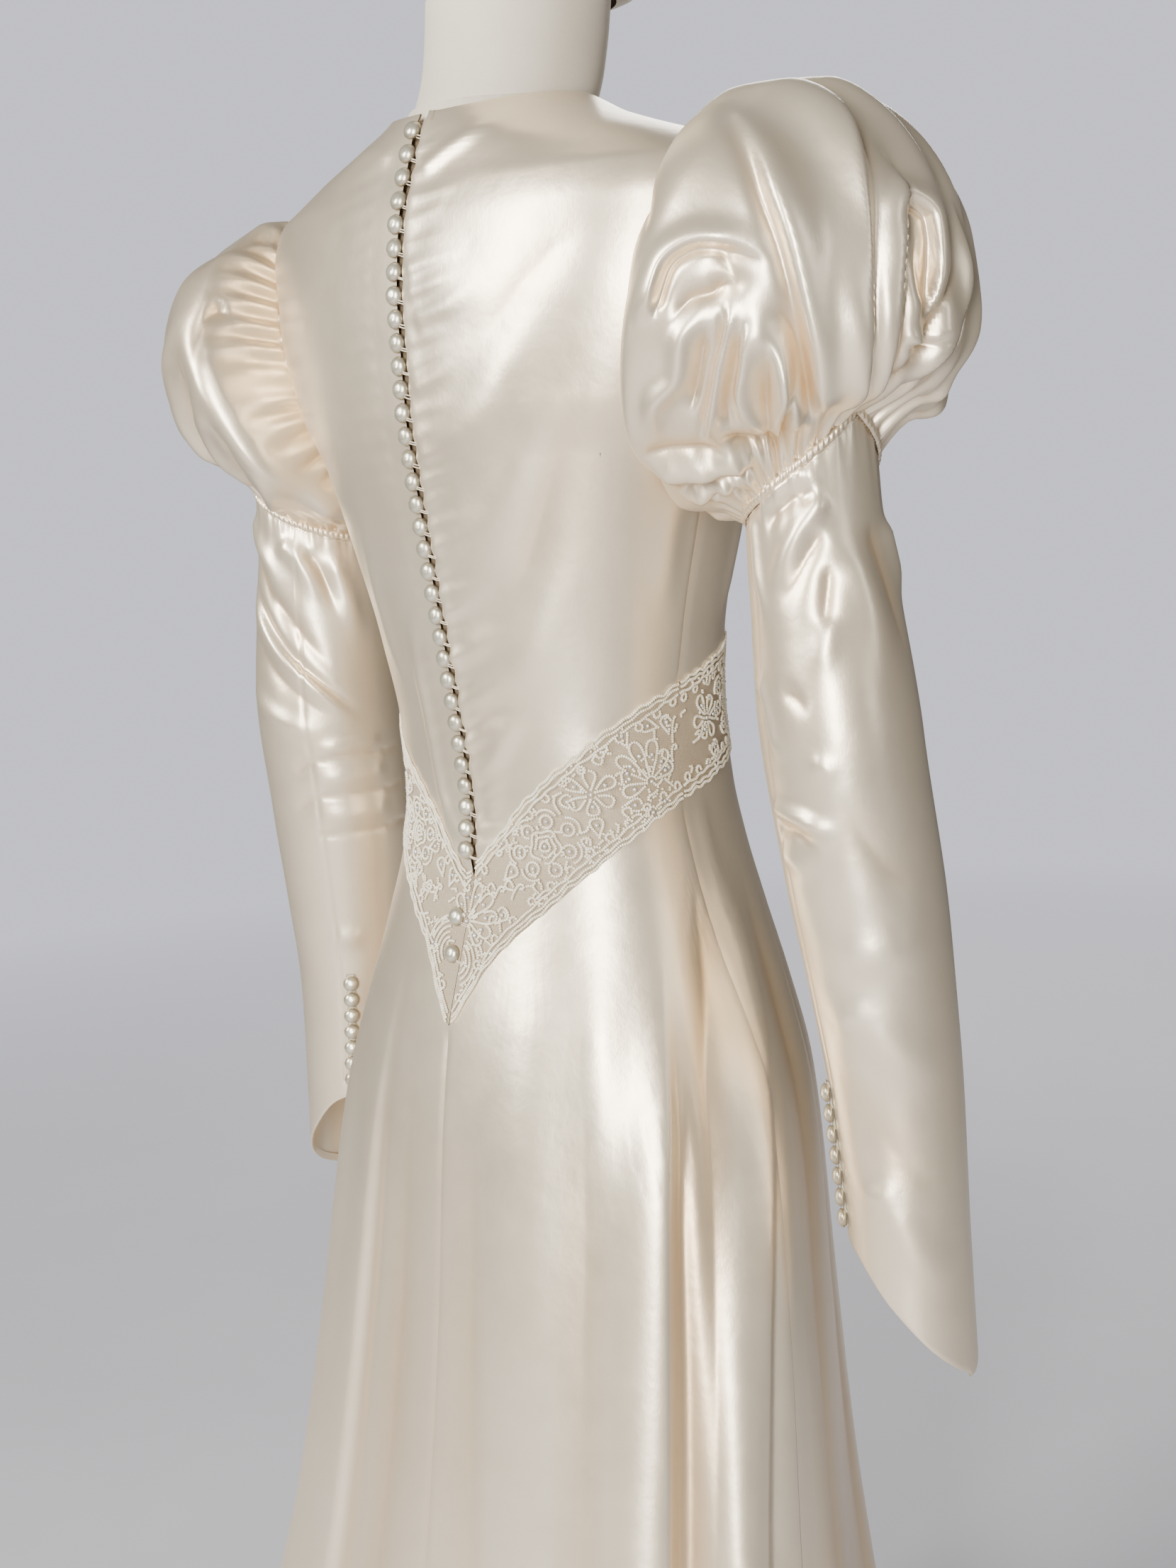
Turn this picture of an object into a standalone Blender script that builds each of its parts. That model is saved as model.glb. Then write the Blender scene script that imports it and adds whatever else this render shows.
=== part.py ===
"""Ivory satin wedding gown, worn by a limbless dress form on a stand.

The gown closes down the centre back with covered buttons and loops, has a V shaped net band
between bodice and skirt, and long sleeves with a gathered puff above a fitted, pointed lower sleeve.

Metres, +Z up. The gown faces -Y, and the wearer's right is at -X. The origin is the centre of the
stand's underside, on the floor.
"""

import math

import bmesh
import bpy
import numpy as np
from mathutils import Matrix, Vector
from mathutils.bvhtree import BVHTree

# Driving dimensions
CLOTH = 0.0014  # wall of a satin panel
NET = 0.0010  # wall of the net band
SEAM_GAP = 0.0003  # parts one piece from the next
SIDE_GAP = 0.0004  # from the middle plane to a panel's side edge, whose wall leans inwards
HEM_HEIGHT = 0.012
NECK_BACK = 1.420  # height of the neckline at the centre back
NECK_SIDE = 1.430
NECK_FRONT = 1.378
UNDERARM = 1.205
SHOULDER = 1.372  # height of the shoulder tip
UNDERARM_X = 0.158
SHOULDER_X = 0.203

# The gown's outer surface, a row for each level. The section's middle moves back below the hips.
# height, half width, reach to the back, reach to the front, squareness, middle to the back
BODY = (
    (1.440, 0.058, 0.071, 0.062, 2.0, 0.000),
    (1.430, 0.066, 0.074, 0.066, 2.0, 0.000),
    (1.420, 0.082, 0.080, 0.070, 2.0, 0.000),
    (1.408, 0.112, 0.087, 0.074, 2.1, 0.000),
    (1.394, 0.152, 0.092, 0.079, 2.2, 0.000),
    (1.382, 0.182, 0.096, 0.083, 2.2, 0.000),
    (1.372, 0.203, 0.100, 0.087, 2.2, 0.000),
    (1.350, 0.211, 0.106, 0.095, 2.2, 0.000),
    (1.295, 0.203, 0.112, 0.110, 2.3, 0.000),
    (1.240, 0.181, 0.112, 0.126, 2.3, 0.000),
    (1.205, 0.158, 0.109, 0.130, 2.3, 0.000),
    (1.150, 0.141, 0.102, 0.122, 2.2, 0.000),
    (1.090, 0.126, 0.094, 0.119, 2.1, 0.000),
    (1.026, 0.116, 0.085, 0.125, 2.1, 0.000),
    (0.976, 0.118, 0.081, 0.132, 2.1, 0.000),
    (0.940, 0.125, 0.086, 0.137, 2.1, 0.000),
    (0.890, 0.141, 0.099, 0.144, 2.1, 0.000),
    (0.837, 0.160, 0.114, 0.151, 2.1, 0.000),
    (0.770, 0.180, 0.127, 0.158, 2.1, 0.004),
    (0.640, 0.200, 0.145, 0.154, 2.1, 0.022),
    (0.470, 0.222, 0.173, 0.148, 2.2, 0.048),
    (0.250, 0.264, 0.226, 0.148, 2.3, 0.080),
    (0.000, 0.324, 0.300, 0.170, 2.4, 0.115),
)
BUST_HEIGHT = 1.212
BUST_ANGLE = 32.0  # degrees each side of the centre front
BUST_RISE = 0.014
BUST_SPREAD = 20.0  # degrees
BUST_TALL = 0.05

# The net band's edges, by the angle from the centre back: height of its top and of its foot
BAND = (
    (0, 0.934, 0.837),
    (11.25, 0.960, 0.884),
    (22.5, 0.985, 0.908),
    (45, 1.017, 0.942),
    (67.5, 1.040, 0.966),
    (90, 1.056, 0.982),
    (135, 1.080, 1.002),
    (180, 1.096, 1.010),
)


def smooth_curve(knots, values):
    """A curve through the values that never overshoots them: cubic, with limited slopes."""
    order = np.argsort(knots)
    knots = np.asarray(knots, float)[order]
    values = np.asarray(values, float)[order]
    step = np.diff(knots)
    slope = np.diff(values) / step
    tangent = np.zeros(len(knots))
    tangent[0], tangent[-1] = slope[0], slope[-1]
    for i in range(1, len(knots) - 1):
        before, after = slope[i - 1], slope[i]
        if before * after > 0:
            w1, w2 = 2 * step[i] + step[i - 1], step[i] + 2 * step[i - 1]
            tangent[i] = (w1 + w2) / (w1 / before + w2 / after)

    def at(x):
        x = min(max(x, knots[0]), knots[-1])
        i = min(int(np.searchsorted(knots, x, side="right")) - 1, len(step) - 1)
        t = (x - knots[i]) / step[i]
        a = (1 + 2 * t) * (1 - t) ** 2 * values[i] + t * (1 - t) ** 2 * step[i] * tangent[i]
        b = t * t * (3 - 2 * t) * values[i + 1] - t * t * (1 - t) * step[i] * tangent[i + 1]
        return float(a + b)

    return at


def columns(table):
    """Smooth curves of a table's other columns against its first."""
    first = [row[0] for row in table]
    return [smooth_curve(first, [row[n] for row in table]) for n in range(1, len(table[0]))]


half_width, back_depth, front_depth, squareness, middle_back = columns(BODY)
band_top, band_foot = columns(BAND)


def spread(start, end, count):
    return [start + (end - start) * i / (count - 1) for i in range(count)]


def ramp(value, start, end):
    """0 before start and 1 after end, smooth between them."""
    t = min(max((value - start) / (end - start), 0.0), 1.0)
    return t * t * (3 - 2 * t)


def signed_power(value, power):
    return math.copysign(abs(value) ** power, value)


def off_back(angle):
    """The angle from the centre back, whichever way round it is measured: 0 to 180."""
    return 180 - abs(abs(angle) - 180)


def body_point(angle, height, out=0.0):
    """A point of the gown's outer surface.

    The angle is in degrees from the centre back, and grows towards the wearer's left."""
    a = math.radians(angle)
    n = squareness(height)
    middle = middle_back(height)
    depth = back_depth(height) - middle if math.cos(a) > 0 else front_depth(height) + middle
    x = half_width(height) * signed_power(math.sin(a), 2 / n)
    y = depth * signed_power(math.cos(a), 2 / n)
    off_front = 180 - off_back(angle)
    aside, above = (off_front - BUST_ANGLE) / BUST_SPREAD, (height - BUST_HEIGHT) / BUST_TALL
    bust = math.exp(-(aside**2) - above**2)
    y -= BUST_RISE * bust * max(0.0, -math.cos(a))
    grow = 1 + out / math.hypot(x, y)
    return Vector((x * grow, y * grow + middle, height))


def armhole_x(height):
    """The armhole lies in this slanting plane."""
    return UNDERARM_X + (SHOULDER_X - UNDERARM_X) * (height - UNDERARM) / (SHOULDER - UNDERARM)


def side_angle(height):
    """How far round a panel reaches at a height: to the armhole, or just short of the side seam."""
    n = squareness(height)
    if UNDERARM < height < SHOULDER:
        share = min(armhole_x(height) / half_width(height), 1.0)
        return math.degrees(math.asin(share ** (n / 2)))
    return 90 - math.degrees(math.asin((SIDE_GAP / back_depth(height)) ** (n / 2)))


def neck_height(angle):
    """Height of the neckline at an angle from the centre back."""
    a = off_back(angle)
    if a <= 90:
        return NECK_BACK + (NECK_SIDE - NECK_BACK) * ramp(a, 0, 90)
    return NECK_SIDE + (NECK_FRONT - NECK_SIDE) * ramp(a, 90, 180)


# Building blocks


def material(name, colour, roughness, metallic=0.0):
    made = bpy.data.materials.new(name)
    made.use_nodes = True
    shader = made.node_tree.nodes["Principled BSDF"]
    shader.inputs["Base Color"].default_value = (*colour, 1.0)
    shader.inputs["Roughness"].default_value = roughness
    shader.inputs["Metallic"].default_value = metallic
    return made


def add_object(name, mesh, collection, finish):
    made = bpy.data.objects.new(name, mesh)
    mesh.materials.clear()
    mesh.materials.append(finish)
    collection.objects.link(made)
    mesh.shade_smooth()
    mesh.set_sharp_from_angle(angle=math.radians(50))
    return made


def grid_faces(deep, wide, closed):
    """Faces of a grid whose rows climb and whose columns run to the wearer's left, facing out.

    Each square is split the same way, because its corners needn't lie in one plane."""
    faces = []
    for r in range(deep - 1):
        for c in range(wide if closed else wide - 1):
            d = (c + 1) % wide
            low, low_next = r * wide + c, r * wide + d
            high, high_next = low + wide, low_next + wide
            faces.append((low, high, high_next))
            faces.append((low, high_next, low_next))
    return faces


def cloth_piece(name, rows, collection, finish, closed=False, wall=CLOTH):
    """A panel of cloth: the surface through the rows of points, thickened inwards."""
    mesh = bpy.data.meshes.new(name)
    points = [tuple(p) for row in rows for p in row]
    mesh.from_pydata(points, [], grid_faces(len(rows), len(rows[0]), closed))
    mesh.update()
    piece = add_object(name, mesh, collection, finish)
    thick = piece.modifiers.new("Wall", "SOLIDIFY")
    thick.thickness = wall
    thick.offset = -1.0
    return piece


def lofted_solid(name, rows, collection, finish):
    """A closed solid through climbing rings of points, flat at both ends."""
    deep, wide = len(rows), len(rows[0])
    mesh = bpy.data.meshes.new(name)
    points = [tuple(p) for row in rows for p in row]
    faces = grid_faces(deep, wide, True)
    faces.append(tuple(range(wide)))
    faces.append(tuple(reversed(range((deep - 1) * wide, deep * wide))))
    mesh.from_pydata(points, [], faces)
    mesh.update()
    return add_object(name, mesh, collection, finish)


# Bodice

BUTTON_EDGE = 0.0067  # the backs meet this far to the right of the centre back
CLOSING_GAP = 0.08  # degrees that the closing takes from each back
SIDE_LEVELS = (
    1.092, 1.130, 1.170, 1.205, 1.213, 1.230, 1.255, 1.285, 1.315, 1.342,
    1.360, 1.368, 1.372, 1.381, 1.393, 1.406, 1.418,
)  # fmt: skip
QUARTER = 9  # columns in a quarter of the body


def closing_edge(height):
    """Degrees from the centre back to the closing edge. It runs into the point of the band."""
    share = min(max((height - band_foot(0)) / (band_top(0) - band_foot(0)), 0.0), 1.0)
    sine = share * BUTTON_EDGE / half_width(height)
    return math.degrees(math.asin(sine ** (squareness(height) / 2)))


def panel_angle(at, height, front):
    """Angle of a point of a panel. Its own columns are 0 at its closing edge, 180 at the centre
    front and 90 at its side edge."""
    reach = side_angle(height) / 90
    if front:
        return 180 + (at - 180) * reach
    return at * reach - closing_edge(height) * (1 - abs(at) / 90)


def panel_columns(first, last, count):
    """A panel's own columns, set back a little where two backs meet."""
    return [at or math.copysign(CLOSING_GAP, first + last) for at in spread(first, last, count)]


def bodice_rows(first, last, count):
    """Rows of a bodice panel from the band up to the neckline."""
    foot_side = band_top(90) + SEAM_GAP / 2
    levels = [foot_side, *[z for z in SIDE_LEVELS if z > foot_side + 0.01], NECK_SIDE]
    rows = []
    for level in levels:
        climb = (level - foot_side) / (NECK_SIDE - foot_side)
        row = []
        for at in panel_columns(first, last, count):
            foot = band_top(off_back(at)) + SEAM_GAP / 2
            height = foot + climb * (neck_height(at) - foot)
            row.append(body_point(panel_angle(at, height, last > 180), height))
        rows.append(row)
    return rows


def make_bodice(collection, satin):
    cloth_piece("bodice_back_left", bodice_rows(0, 90, QUARTER), collection, satin)
    cloth_piece("bodice_back_right", bodice_rows(-90, 0, QUARTER), collection, satin)
    cloth_piece("bodice_front", bodice_rows(90, 270, 2 * QUARTER - 1), collection, satin)


# Net band

BAND_ROWS = 4


def band_rows(first, last, count):
    rows = []
    for climb in spread(0.0, 1.0, BAND_ROWS):
        row = []
        for at in panel_columns(first, last, count):
            low = band_foot(off_back(at)) + SEAM_GAP / 2
            high = band_top(off_back(at)) - SEAM_GAP / 2
            height = low + (high - low) * climb
            row.append(body_point(panel_angle(at, height, last > 180), height))
        rows.append(row)
    return rows


def make_band(collection, net):
    cloth_piece("band_back_left", band_rows(0, 90, QUARTER), collection, net, wall=NET)
    cloth_piece("band_back_right", band_rows(-90, 0, QUARTER), collection, net, wall=NET)
    cloth_piece("band_front", band_rows(90, 270, 2 * QUARTER - 1), collection, net, wall=NET)


# Skirt

SKIRT_FINENESS = 3  # columns of the skirt for each column of the band
SKIRT_CLIMB = (0.0, 0.14, 0.34, 0.55, 0.72, 0.84, 0.93, 1.0)  # share of the way from hem to band
# The folds: angle from the centre back, half width in degrees, how far it stands out at the hem,
# and the height where it starts
FOLDS = (
    (-170, 12, 0.022, 0.80),
    (-149, 10, -0.020, 0.72),
    (-131, 10, 0.024, 0.84),
    (-114, 9, -0.020, 0.74),
    (-99, 9, 0.026, 0.88),
    (-83, 8, -0.020, 0.76),
    (-69, 8, 0.026, 0.86),
    (-55, 7, -0.022, 0.77),
    (-40, 11, 0.022, 0.82),
    (-20, 12, -0.014, 0.72),
    (2, 12, 0.016, 0.70),
    (22, 10, -0.016, 0.72),
    (41, 10, 0.024, 0.80),
    (58, 8, -0.022, 0.75),
    (72, 8, 0.024, 0.86),
    (86, 8, -0.018, 0.76),
    (101, 9, 0.024, 0.86),
    (116, 9, -0.020, 0.74),
    (134, 10, 0.022, 0.82),
    (152, 10, -0.018, 0.72),
)


def fold_out(angle, height):
    """How far the folds carry the skirt out from the body's surface."""
    total = 0.0
    for at, half, depth, start in FOLDS:
        away = (angle - at + 180) % 360 - 180
        grown = ramp(start - height, 0.0, start + 0.25)
        total += depth * grown * math.exp(-((away / half) ** 2))
    return total


def seam_height(curve, angle):
    """Height of a band edge, straight between the band's columns."""
    pitch = 90 / (QUARTER - 1)
    a = off_back(angle)
    low = math.floor(a / pitch + 1e-9) * pitch
    if a - low < 1e-6:
        return curve(low)
    return curve(low) + (curve(low + pitch) - curve(low)) * (a - low) / pitch


def skirt_rows(first, last, count):
    rows = []
    for climb in SKIRT_CLIMB:
        row = []
        for at in panel_columns(first, last, count):
            top = seam_height(band_foot, at) - SEAM_GAP / 2
            height = HEM_HEIGHT + (top - HEM_HEIGHT) * climb
            row.append(body_point(panel_angle(at, height, last > 180), height, fold_out(at, height)))
        rows.append(row)
    return rows


def make_skirt(collection, satin):
    quarter = SKIRT_FINENESS * (QUARTER - 1) + 1
    cloth_piece("skirt_back_left", skirt_rows(0, 90, quarter), collection, satin)
    cloth_piece("skirt_back_right", skirt_rows(-90, 0, quarter), collection, satin)
    cloth_piece("skirt_front", skirt_rows(90, 270, 2 * quarter - 1), collection, satin)


# Lower sleeves

SLEEVE_COLUMNS = 20
SLEEVE_CLIMB = (0.0, 0.06, 0.14, 0.24, 0.35, 0.46, 0.56, 0.66, 0.76, 0.86, 0.94, 1.0)
SLEEVE_TURN = 45  # degrees from outwards to the back, the long axis of the sleeve's section
# height, middle out from the centre line, middle to the back, long half axis, short half axis
SLEEVE = (
    (1.230, 0.2320, 0.003, 0.0425, 0.0380),
    (1.170, 0.2320, 0.001, 0.0450, 0.0400),
    (1.100, 0.2375, -0.001, 0.0505, 0.0455),
    (1.030, 0.2430, -0.003, 0.0550, 0.0490),
    (0.944, 0.2495, -0.012, 0.0535, 0.0485),
    (0.870, 0.2560, -0.018, 0.0490, 0.0450),
    (0.800, 0.2615, -0.022, 0.0445, 0.0415),
    (0.720, 0.2680, -0.020, 0.0410, 0.0385),
    (0.620, 0.2750, -0.018, 0.0390, 0.0365),
)
# Round the sleeve, in degrees from the peak of its seam and from the point of its cuff
SEAM_DROP = ((0, 0.000), (45, 0.024), (90, 0.045), (135, 0.060), (180, 0.068))
CUFF_RISE = ((0, 0.000), (20, 0.006), (50, 0.021), (90, 0.050), (130, 0.078), (180, 0.088))
SEAM_PEAK, SEAM_PEAK_ANGLE = 1.221, 10
CUFF_POINT, CUFF_POINT_ANGLE = 0.627, -12
CORD_RADIUS = 0.0016
CORD_POINTS = 24
CORD_SPACE = 0.0024  # from the cord's middle to the cloth above and below it
sleeve_out, sleeve_back, sleeve_long, sleeve_short = columns(SLEEVE)
(seam_drop,) = columns(SEAM_DROP)
(cuff_rise,) = columns(CUFF_RISE)


def seam_at(angle):
    """Height of the gathered seam. Angles round a sleeve run from outwards to the back."""
    return SEAM_PEAK - seam_drop(off_back(angle - SEAM_PEAK_ANGLE))


def cuff_at(angle):
    return CUFF_POINT + cuff_rise(off_back(angle - CUFF_POINT_ANGLE))


def sleeve_point(angle, height, side, out=0.0):
    """A point of a lower sleeve's outer surface."""
    a = math.radians(angle - SLEEVE_TURN)
    turn = math.radians(SLEEVE_TURN)
    along = (sleeve_long(height) + out) * math.cos(a)
    across = (sleeve_short(height) + out) * math.sin(a)
    x = sleeve_out(height) + along * math.cos(turn) - across * math.sin(turn)
    y = sleeve_back(height) + along * math.sin(turn) + across * math.cos(turn)
    return Vector((side * x, y, height))


def round_angles(count, side):
    """Angles all round a limb, in the order that keeps its surface facing out."""
    return [-side * 360 * i / count for i in range(count)]


def sleeve_rows(side):
    rows = []
    for climb in SLEEVE_CLIMB:
        row = []
        for angle in round_angles(SLEEVE_COLUMNS, side):
            foot, top = cuff_at(angle), seam_at(angle) - CORD_SPACE
            row.append(sleeve_point(angle, foot + (top - foot) * climb, side))
        rows.append(row)
    return rows


def make_sleeve(name, side, collection, satin):
    cloth_piece(f"sleeve_{name}", sleeve_rows(side), collection, satin, closed=True)


def make_gather_cord(name, side, collection, satin):
    curve = bpy.data.curves.new(f"gather_cord_{name}", "CURVE")
    curve.dimensions = "3D"
    curve.bevel_depth = CORD_RADIUS
    curve.bevel_resolution = 1
    path = curve.splines.new("POLY")
    path.points.add(CORD_POINTS - 1)
    for point, angle in zip(path.points, round_angles(CORD_POINTS, side)):
        point.co = (*sleeve_point(angle, seam_at(angle), side, -CLOTH / 2), 1.0)
    path.use_cyclic_u = True
    cord = bpy.data.objects.new(f"gather_cord_{name}", curve)
    curve.materials.append(satin)
    collection.objects.link(cord)


# Puffs

PUFF_COLUMNS = 40
# Rings from the armhole to the seam: share of the way, middle out, middle height, top out, top
# height, bottom out, bottom height, depth to the back, depth to the front
PUFF = (
    (0.00, 0.181, 1.2885, 0.203, 1.372, 0.158, 1.205, 0.063, 0.063),
    (0.10, 0.189, 1.292, 0.206, 1.394, 0.1565, 1.191, 0.094, 0.082),
    (0.22, 0.196, 1.290, 0.219, 1.407, 0.1565, 1.181, 0.118, 0.096),
    (0.36, 0.207, 1.283, 0.254, 1.403, 0.158, 1.173, 0.126, 0.100),
    (0.50, 0.222, 1.272, 0.298, 1.371, 0.160, 1.167, 0.120, 0.098),
    (0.64, 0.237, 1.255, 0.322, 1.325, 0.163, 1.163, 0.106, 0.090),
    (0.76, 0.245, 1.235, 0.328, 1.277, 0.167, 1.161, 0.090, 0.080),
    (0.86, 0.245, 1.216, 0.317, 1.243, 0.172, 1.161, 0.074, 0.068),
    (0.94, 0.240, 1.202, 0.296, 1.228, 0.180, 1.162, 0.058, 0.056),
    (1.00, 0.232, 1.190, 0.272, 1.222, 0.192, 1.155, 0.042, 0.042),
)
PUFF_FOLDS = 10
PUFF_FOLD_SHARE = 0.05  # how far a fold stands out, as a share of the ring's reach
PUFF_SPREAD = 24  # degrees that the folds crowd together towards the sleeve's outer side
LEFT_DROP = 0.030  # the left puff has settled lower at its top


def armhole_point(angle, side):
    """The armhole's edge, by the angle from the shoulder tip to the back."""
    middle, half = (SHOULDER + UNDERARM) / 2, (SHOULDER - UNDERARM) / 2
    height = middle + half * math.cos(math.radians(angle))
    y = 0.0
    if UNDERARM + 1e-6 < height < SHOULDER - 1e-6:
        edge = side_angle(height)
        around = edge if math.sin(math.radians(angle)) > 0 else 180 - edge
        y = body_point(around, height).y
    return Vector((side * (armhole_x(height) + SEAM_GAP), y, height))


def puff_point(angle, ring, side):
    """A point of a ring of the puff, by the angle from its top to the back."""
    share, x, z, top_x, top_z, low_x, low_z, to_back, to_front = ring
    up, back = math.cos(math.radians(angle)), math.sin(math.radians(angle))
    sink = LEFT_DROP * max(up, 0.0) * math.sin(math.pi * share) if side > 0 else 0.0
    edge_x, edge_z = (top_x, top_z) if up > 0 else (low_x, low_z)
    out = x + (edge_x - x) * abs(up)
    height = z + (edge_z - z) * abs(up) - sink
    y = back * (to_back if back > 0 else to_front)
    crowded = angle + PUFF_SPREAD * math.sin(math.radians(2 * angle))
    wave = math.cos(math.radians(PUFF_FOLDS * crowded))
    grow = 1 + PUFF_FOLD_SHARE * math.sin(math.pi * share) ** 0.6 * wave
    return Vector((side * (x + (out - x) * grow), y * grow, z + (height - z) * grow))


def puff_rows(side):
    rows = []
    for ring in reversed(PUFF):
        row = []
        for angle in round_angles(PUFF_COLUMNS, side):
            if ring[0] == 0.0:
                row.append(armhole_point(angle, side))
            elif ring[0] == 1.0:
                row.append(sleeve_point(angle, seam_at(angle) + CORD_SPACE, side))
            else:
                row.append(puff_point(angle, ring, side))
        rows.append(row)
    return rows


def make_puff(name, side, collection, satin):
    cloth_piece(f"puff_{name}", puff_rows(side), collection, satin, closed=True)


# Buttons

BUTTON_RADIUS = 0.0055
BUTTON_HEIGHT = 0.0040
BUTTON_SIDES = 8
BODICE_BUTTONS, BODICE_BUTTON_TOP, BODICE_BUTTON_LOW = 33, 1.4095, 0.9515
BAND_BUTTON_HEIGHTS = (0.9069, 0.8829)
BAND_BUTTON_SIDE = 0.0045  # to the left of the centre back
CUFF_BUTTONS, CUFF_BUTTON_TOP, CUFF_BUTTON_LOW = 7, 0.804, 0.723
CUFF_BUTTON_ANGLE = 135
STRIP_WIDTH = 0.008
STRIP_WALL = 0.0010
STRIP_ROWS = 8
STRIP_PAST_LOW, STRIP_PAST_TOP = 0.004, 0.007  # how far the strip runs past its end buttons
CLEAR_OF_FACETS = 0.0002  # added to a gap over a surface whose facets are not quite flat
BUTTON_SINK = 0.0006  # of a cuff button into its strip
RAY_REACH = 0.2  # how far outside the sleeve a ray starts
TAPE_WIDTH = 0.0022
TAPE_WALL = 0.0010
TAPE_INSET = 0.0003  # from the right back's edge


def button_profile():
    """Half of a covered button's section, from its crown down its outer side to its underside."""
    mesh = bpy.data.meshes.new("button")
    outline = (
        (0.0, BUTTON_HEIGHT),
        (0.55 * BUTTON_RADIUS, 0.85 * BUTTON_HEIGHT),
        (BUTTON_RADIUS, 0.32 * BUTTON_HEIGHT),
        (0.9 * BUTTON_RADIUS, 0.0),
        (0.0, 0.0),
    )
    points = [(x, 0.0, z) for x, z in outline]
    mesh.from_pydata(points, [(i, i + 1) for i in range(len(points) - 1)], [])
    return mesh


def turned(piece, sides):
    """Turns a profile, given as a mesh of edges, round its Z axis."""
    screw = piece.modifiers.new("Turn", "SCREW")
    screw.axis = "Z"
    screw.steps = sides
    screw.render_steps = sides
    screw.use_merge_vertices = True
    screw.merge_threshold = 0.00001
    screw.use_smooth_shade = True


def surface_of(rows, closed=False):
    """What a ray meets on a panel's outer surface."""
    points = [p for row in rows for p in row]
    return BVHTree.FromPolygons(points, grid_faces(len(rows), len(rows[0]), closed))


def seated(surface, start, aim, lift):
    """Placement of a button that clears the surface which the ray from start meets."""
    aim = Vector(aim).normalized()
    across = aim.cross(Vector((0, 0, 1)))
    ring = [Vector((0, 0, 0))]
    for turn in spread(0.0, 2 * math.pi, BUTTON_SIDES + 1)[:-1]:
        ring.append(BUTTON_RADIUS * (math.sin(turn) * across + math.cos(turn) * Vector((0, 0, 1))))
    hits = [surface.ray_cast(Vector(start) + step, aim)[0] for step in ring]
    high, low = hits[1], hits[1 + BUTTON_SIDES // 2]
    left, right = hits[1 + BUTTON_SIDES // 4], hits[1 + 3 * BUTTON_SIDES // 4]
    normal = (high - low).cross(right - left).normalized()
    if normal.dot(aim) > 0:
        normal = -normal
    proud = max((point - hits[0]).dot(normal) for point in hits)
    seat = Matrix.Translation(hits[0] + normal * (proud + lift))
    return seat @ normal.to_track_quat("Z", "Y").to_matrix().to_4x4()


def make_back_buttons(collection, satin):
    profile = button_profile()
    bodice, band = surface_of(bodice_rows(0, 90, QUARTER)), surface_of(band_rows(0, 90, QUARTER))
    places = [(bodice, z) for z in spread(BODICE_BUTTON_TOP, BODICE_BUTTON_LOW, BODICE_BUTTONS)]
    places += [(band, z) for z in BAND_BUTTON_HEIGHTS]
    for number, (surface, height) in enumerate(places, 1):
        button = add_object(f"back_button_{number:02d}", profile.copy(), collection, satin)
        turned(button, BUTTON_SIDES)
        x = BAND_BUTTON_SIDE if surface is band else 0.0
        start = (x, RAY_REACH, height)
        button.matrix_world = seated(surface, start, (0, -1, 0), SEAM_GAP + CLEAR_OF_FACETS / 2)


def make_loop_tape(collection, satin):
    """The narrow corded edge that holds the button loops, on the edge of the right back."""
    edges = [(row[-2], row[-1]) for row in bodice_rows(-90, 0, QUARTER)]
    rows = []
    for number, (inner, edge) in enumerate(edges):
        across = (edge - inner).normalized()
        above = edges[min(number + 1, len(edges) - 1)][1]
        below = edges[max(number - 1, 0)][1]
        out = across.cross(above - below).normalized() * -(TAPE_WALL + SEAM_GAP)
        start = edge - across * TAPE_INSET
        rows.append([start - across * TAPE_WIDTH + out, start + out])
    cloth_piece("loop_tape", rows, collection, satin, wall=TAPE_WALL)


def make_cuff_buttons(name, side, collection, cutters, satin):
    """Seven buttons on the narrow strip that faces the cuff's opening, joined into one piece."""
    surface = surface_of(sleeve_rows(side), closed=True)

    def meet(height, turn):
        away = sleeve_point(CUFF_BUTTON_ANGLE, height, side, RAY_REACH)
        middle = Vector((side * sleeve_out(height), sleeve_back(height), height))
        aim = middle - away
        return away + Vector((-aim.y, aim.x, 0)).normalized() * turn, aim

    rows = []
    low, high = CUFF_BUTTON_LOW - STRIP_PAST_LOW, CUFF_BUTTON_TOP + STRIP_PAST_TOP
    for height in spread(low, high, STRIP_ROWS):
        row = []
        for turn in (-STRIP_WIDTH / 2, STRIP_WIDTH / 2):
            start, aim = meet(height, turn)
            spot, normal, _, _ = surface.ray_cast(start, aim.normalized())
            row.append(spot + normal * (STRIP_WALL + SEAM_GAP + CLEAR_OF_FACETS))
        rows.append(row)
    strip = cloth_piece(f"cuff_buttons_{name}", rows, collection, satin, wall=STRIP_WALL)
    row_of_buttons = bmesh.new()
    radius = 0.9 * BUTTON_RADIUS
    for height in spread(CUFF_BUTTON_TOP, CUFF_BUTTON_LOW, CUFF_BUTTONS):
        start, aim = meet(height, 0.0)
        place = seated(surface, start, aim, SEAM_GAP + STRIP_WALL + CLEAR_OF_FACETS - BUTTON_SINK)
        lift = Matrix.Translation((0, 0, BUTTON_HEIGHT / 2))
        bmesh.ops.create_cone(
            row_of_buttons,
            cap_ends=True,
            segments=BUTTON_SIDES,
            radius1=radius,
            radius2=0.55 * radius,
            depth=BUTTON_HEIGHT,
            matrix=place @ lift,
        )
    mesh = bpy.data.meshes.new(f"cuff_button_row_{name}")
    row_of_buttons.to_mesh(mesh)
    row_of_buttons.free()
    added = bpy.data.objects.new(f"cuff_button_row_{name}", mesh)
    cutters.objects.link(added)
    added.hide_render = True
    added.display_type = "WIRE"
    union = strip.modifiers.new("Buttons", "BOOLEAN")
    union.operation = "UNION"
    union.solver = "EXACT"
    union.object = added


# Dress form

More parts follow.
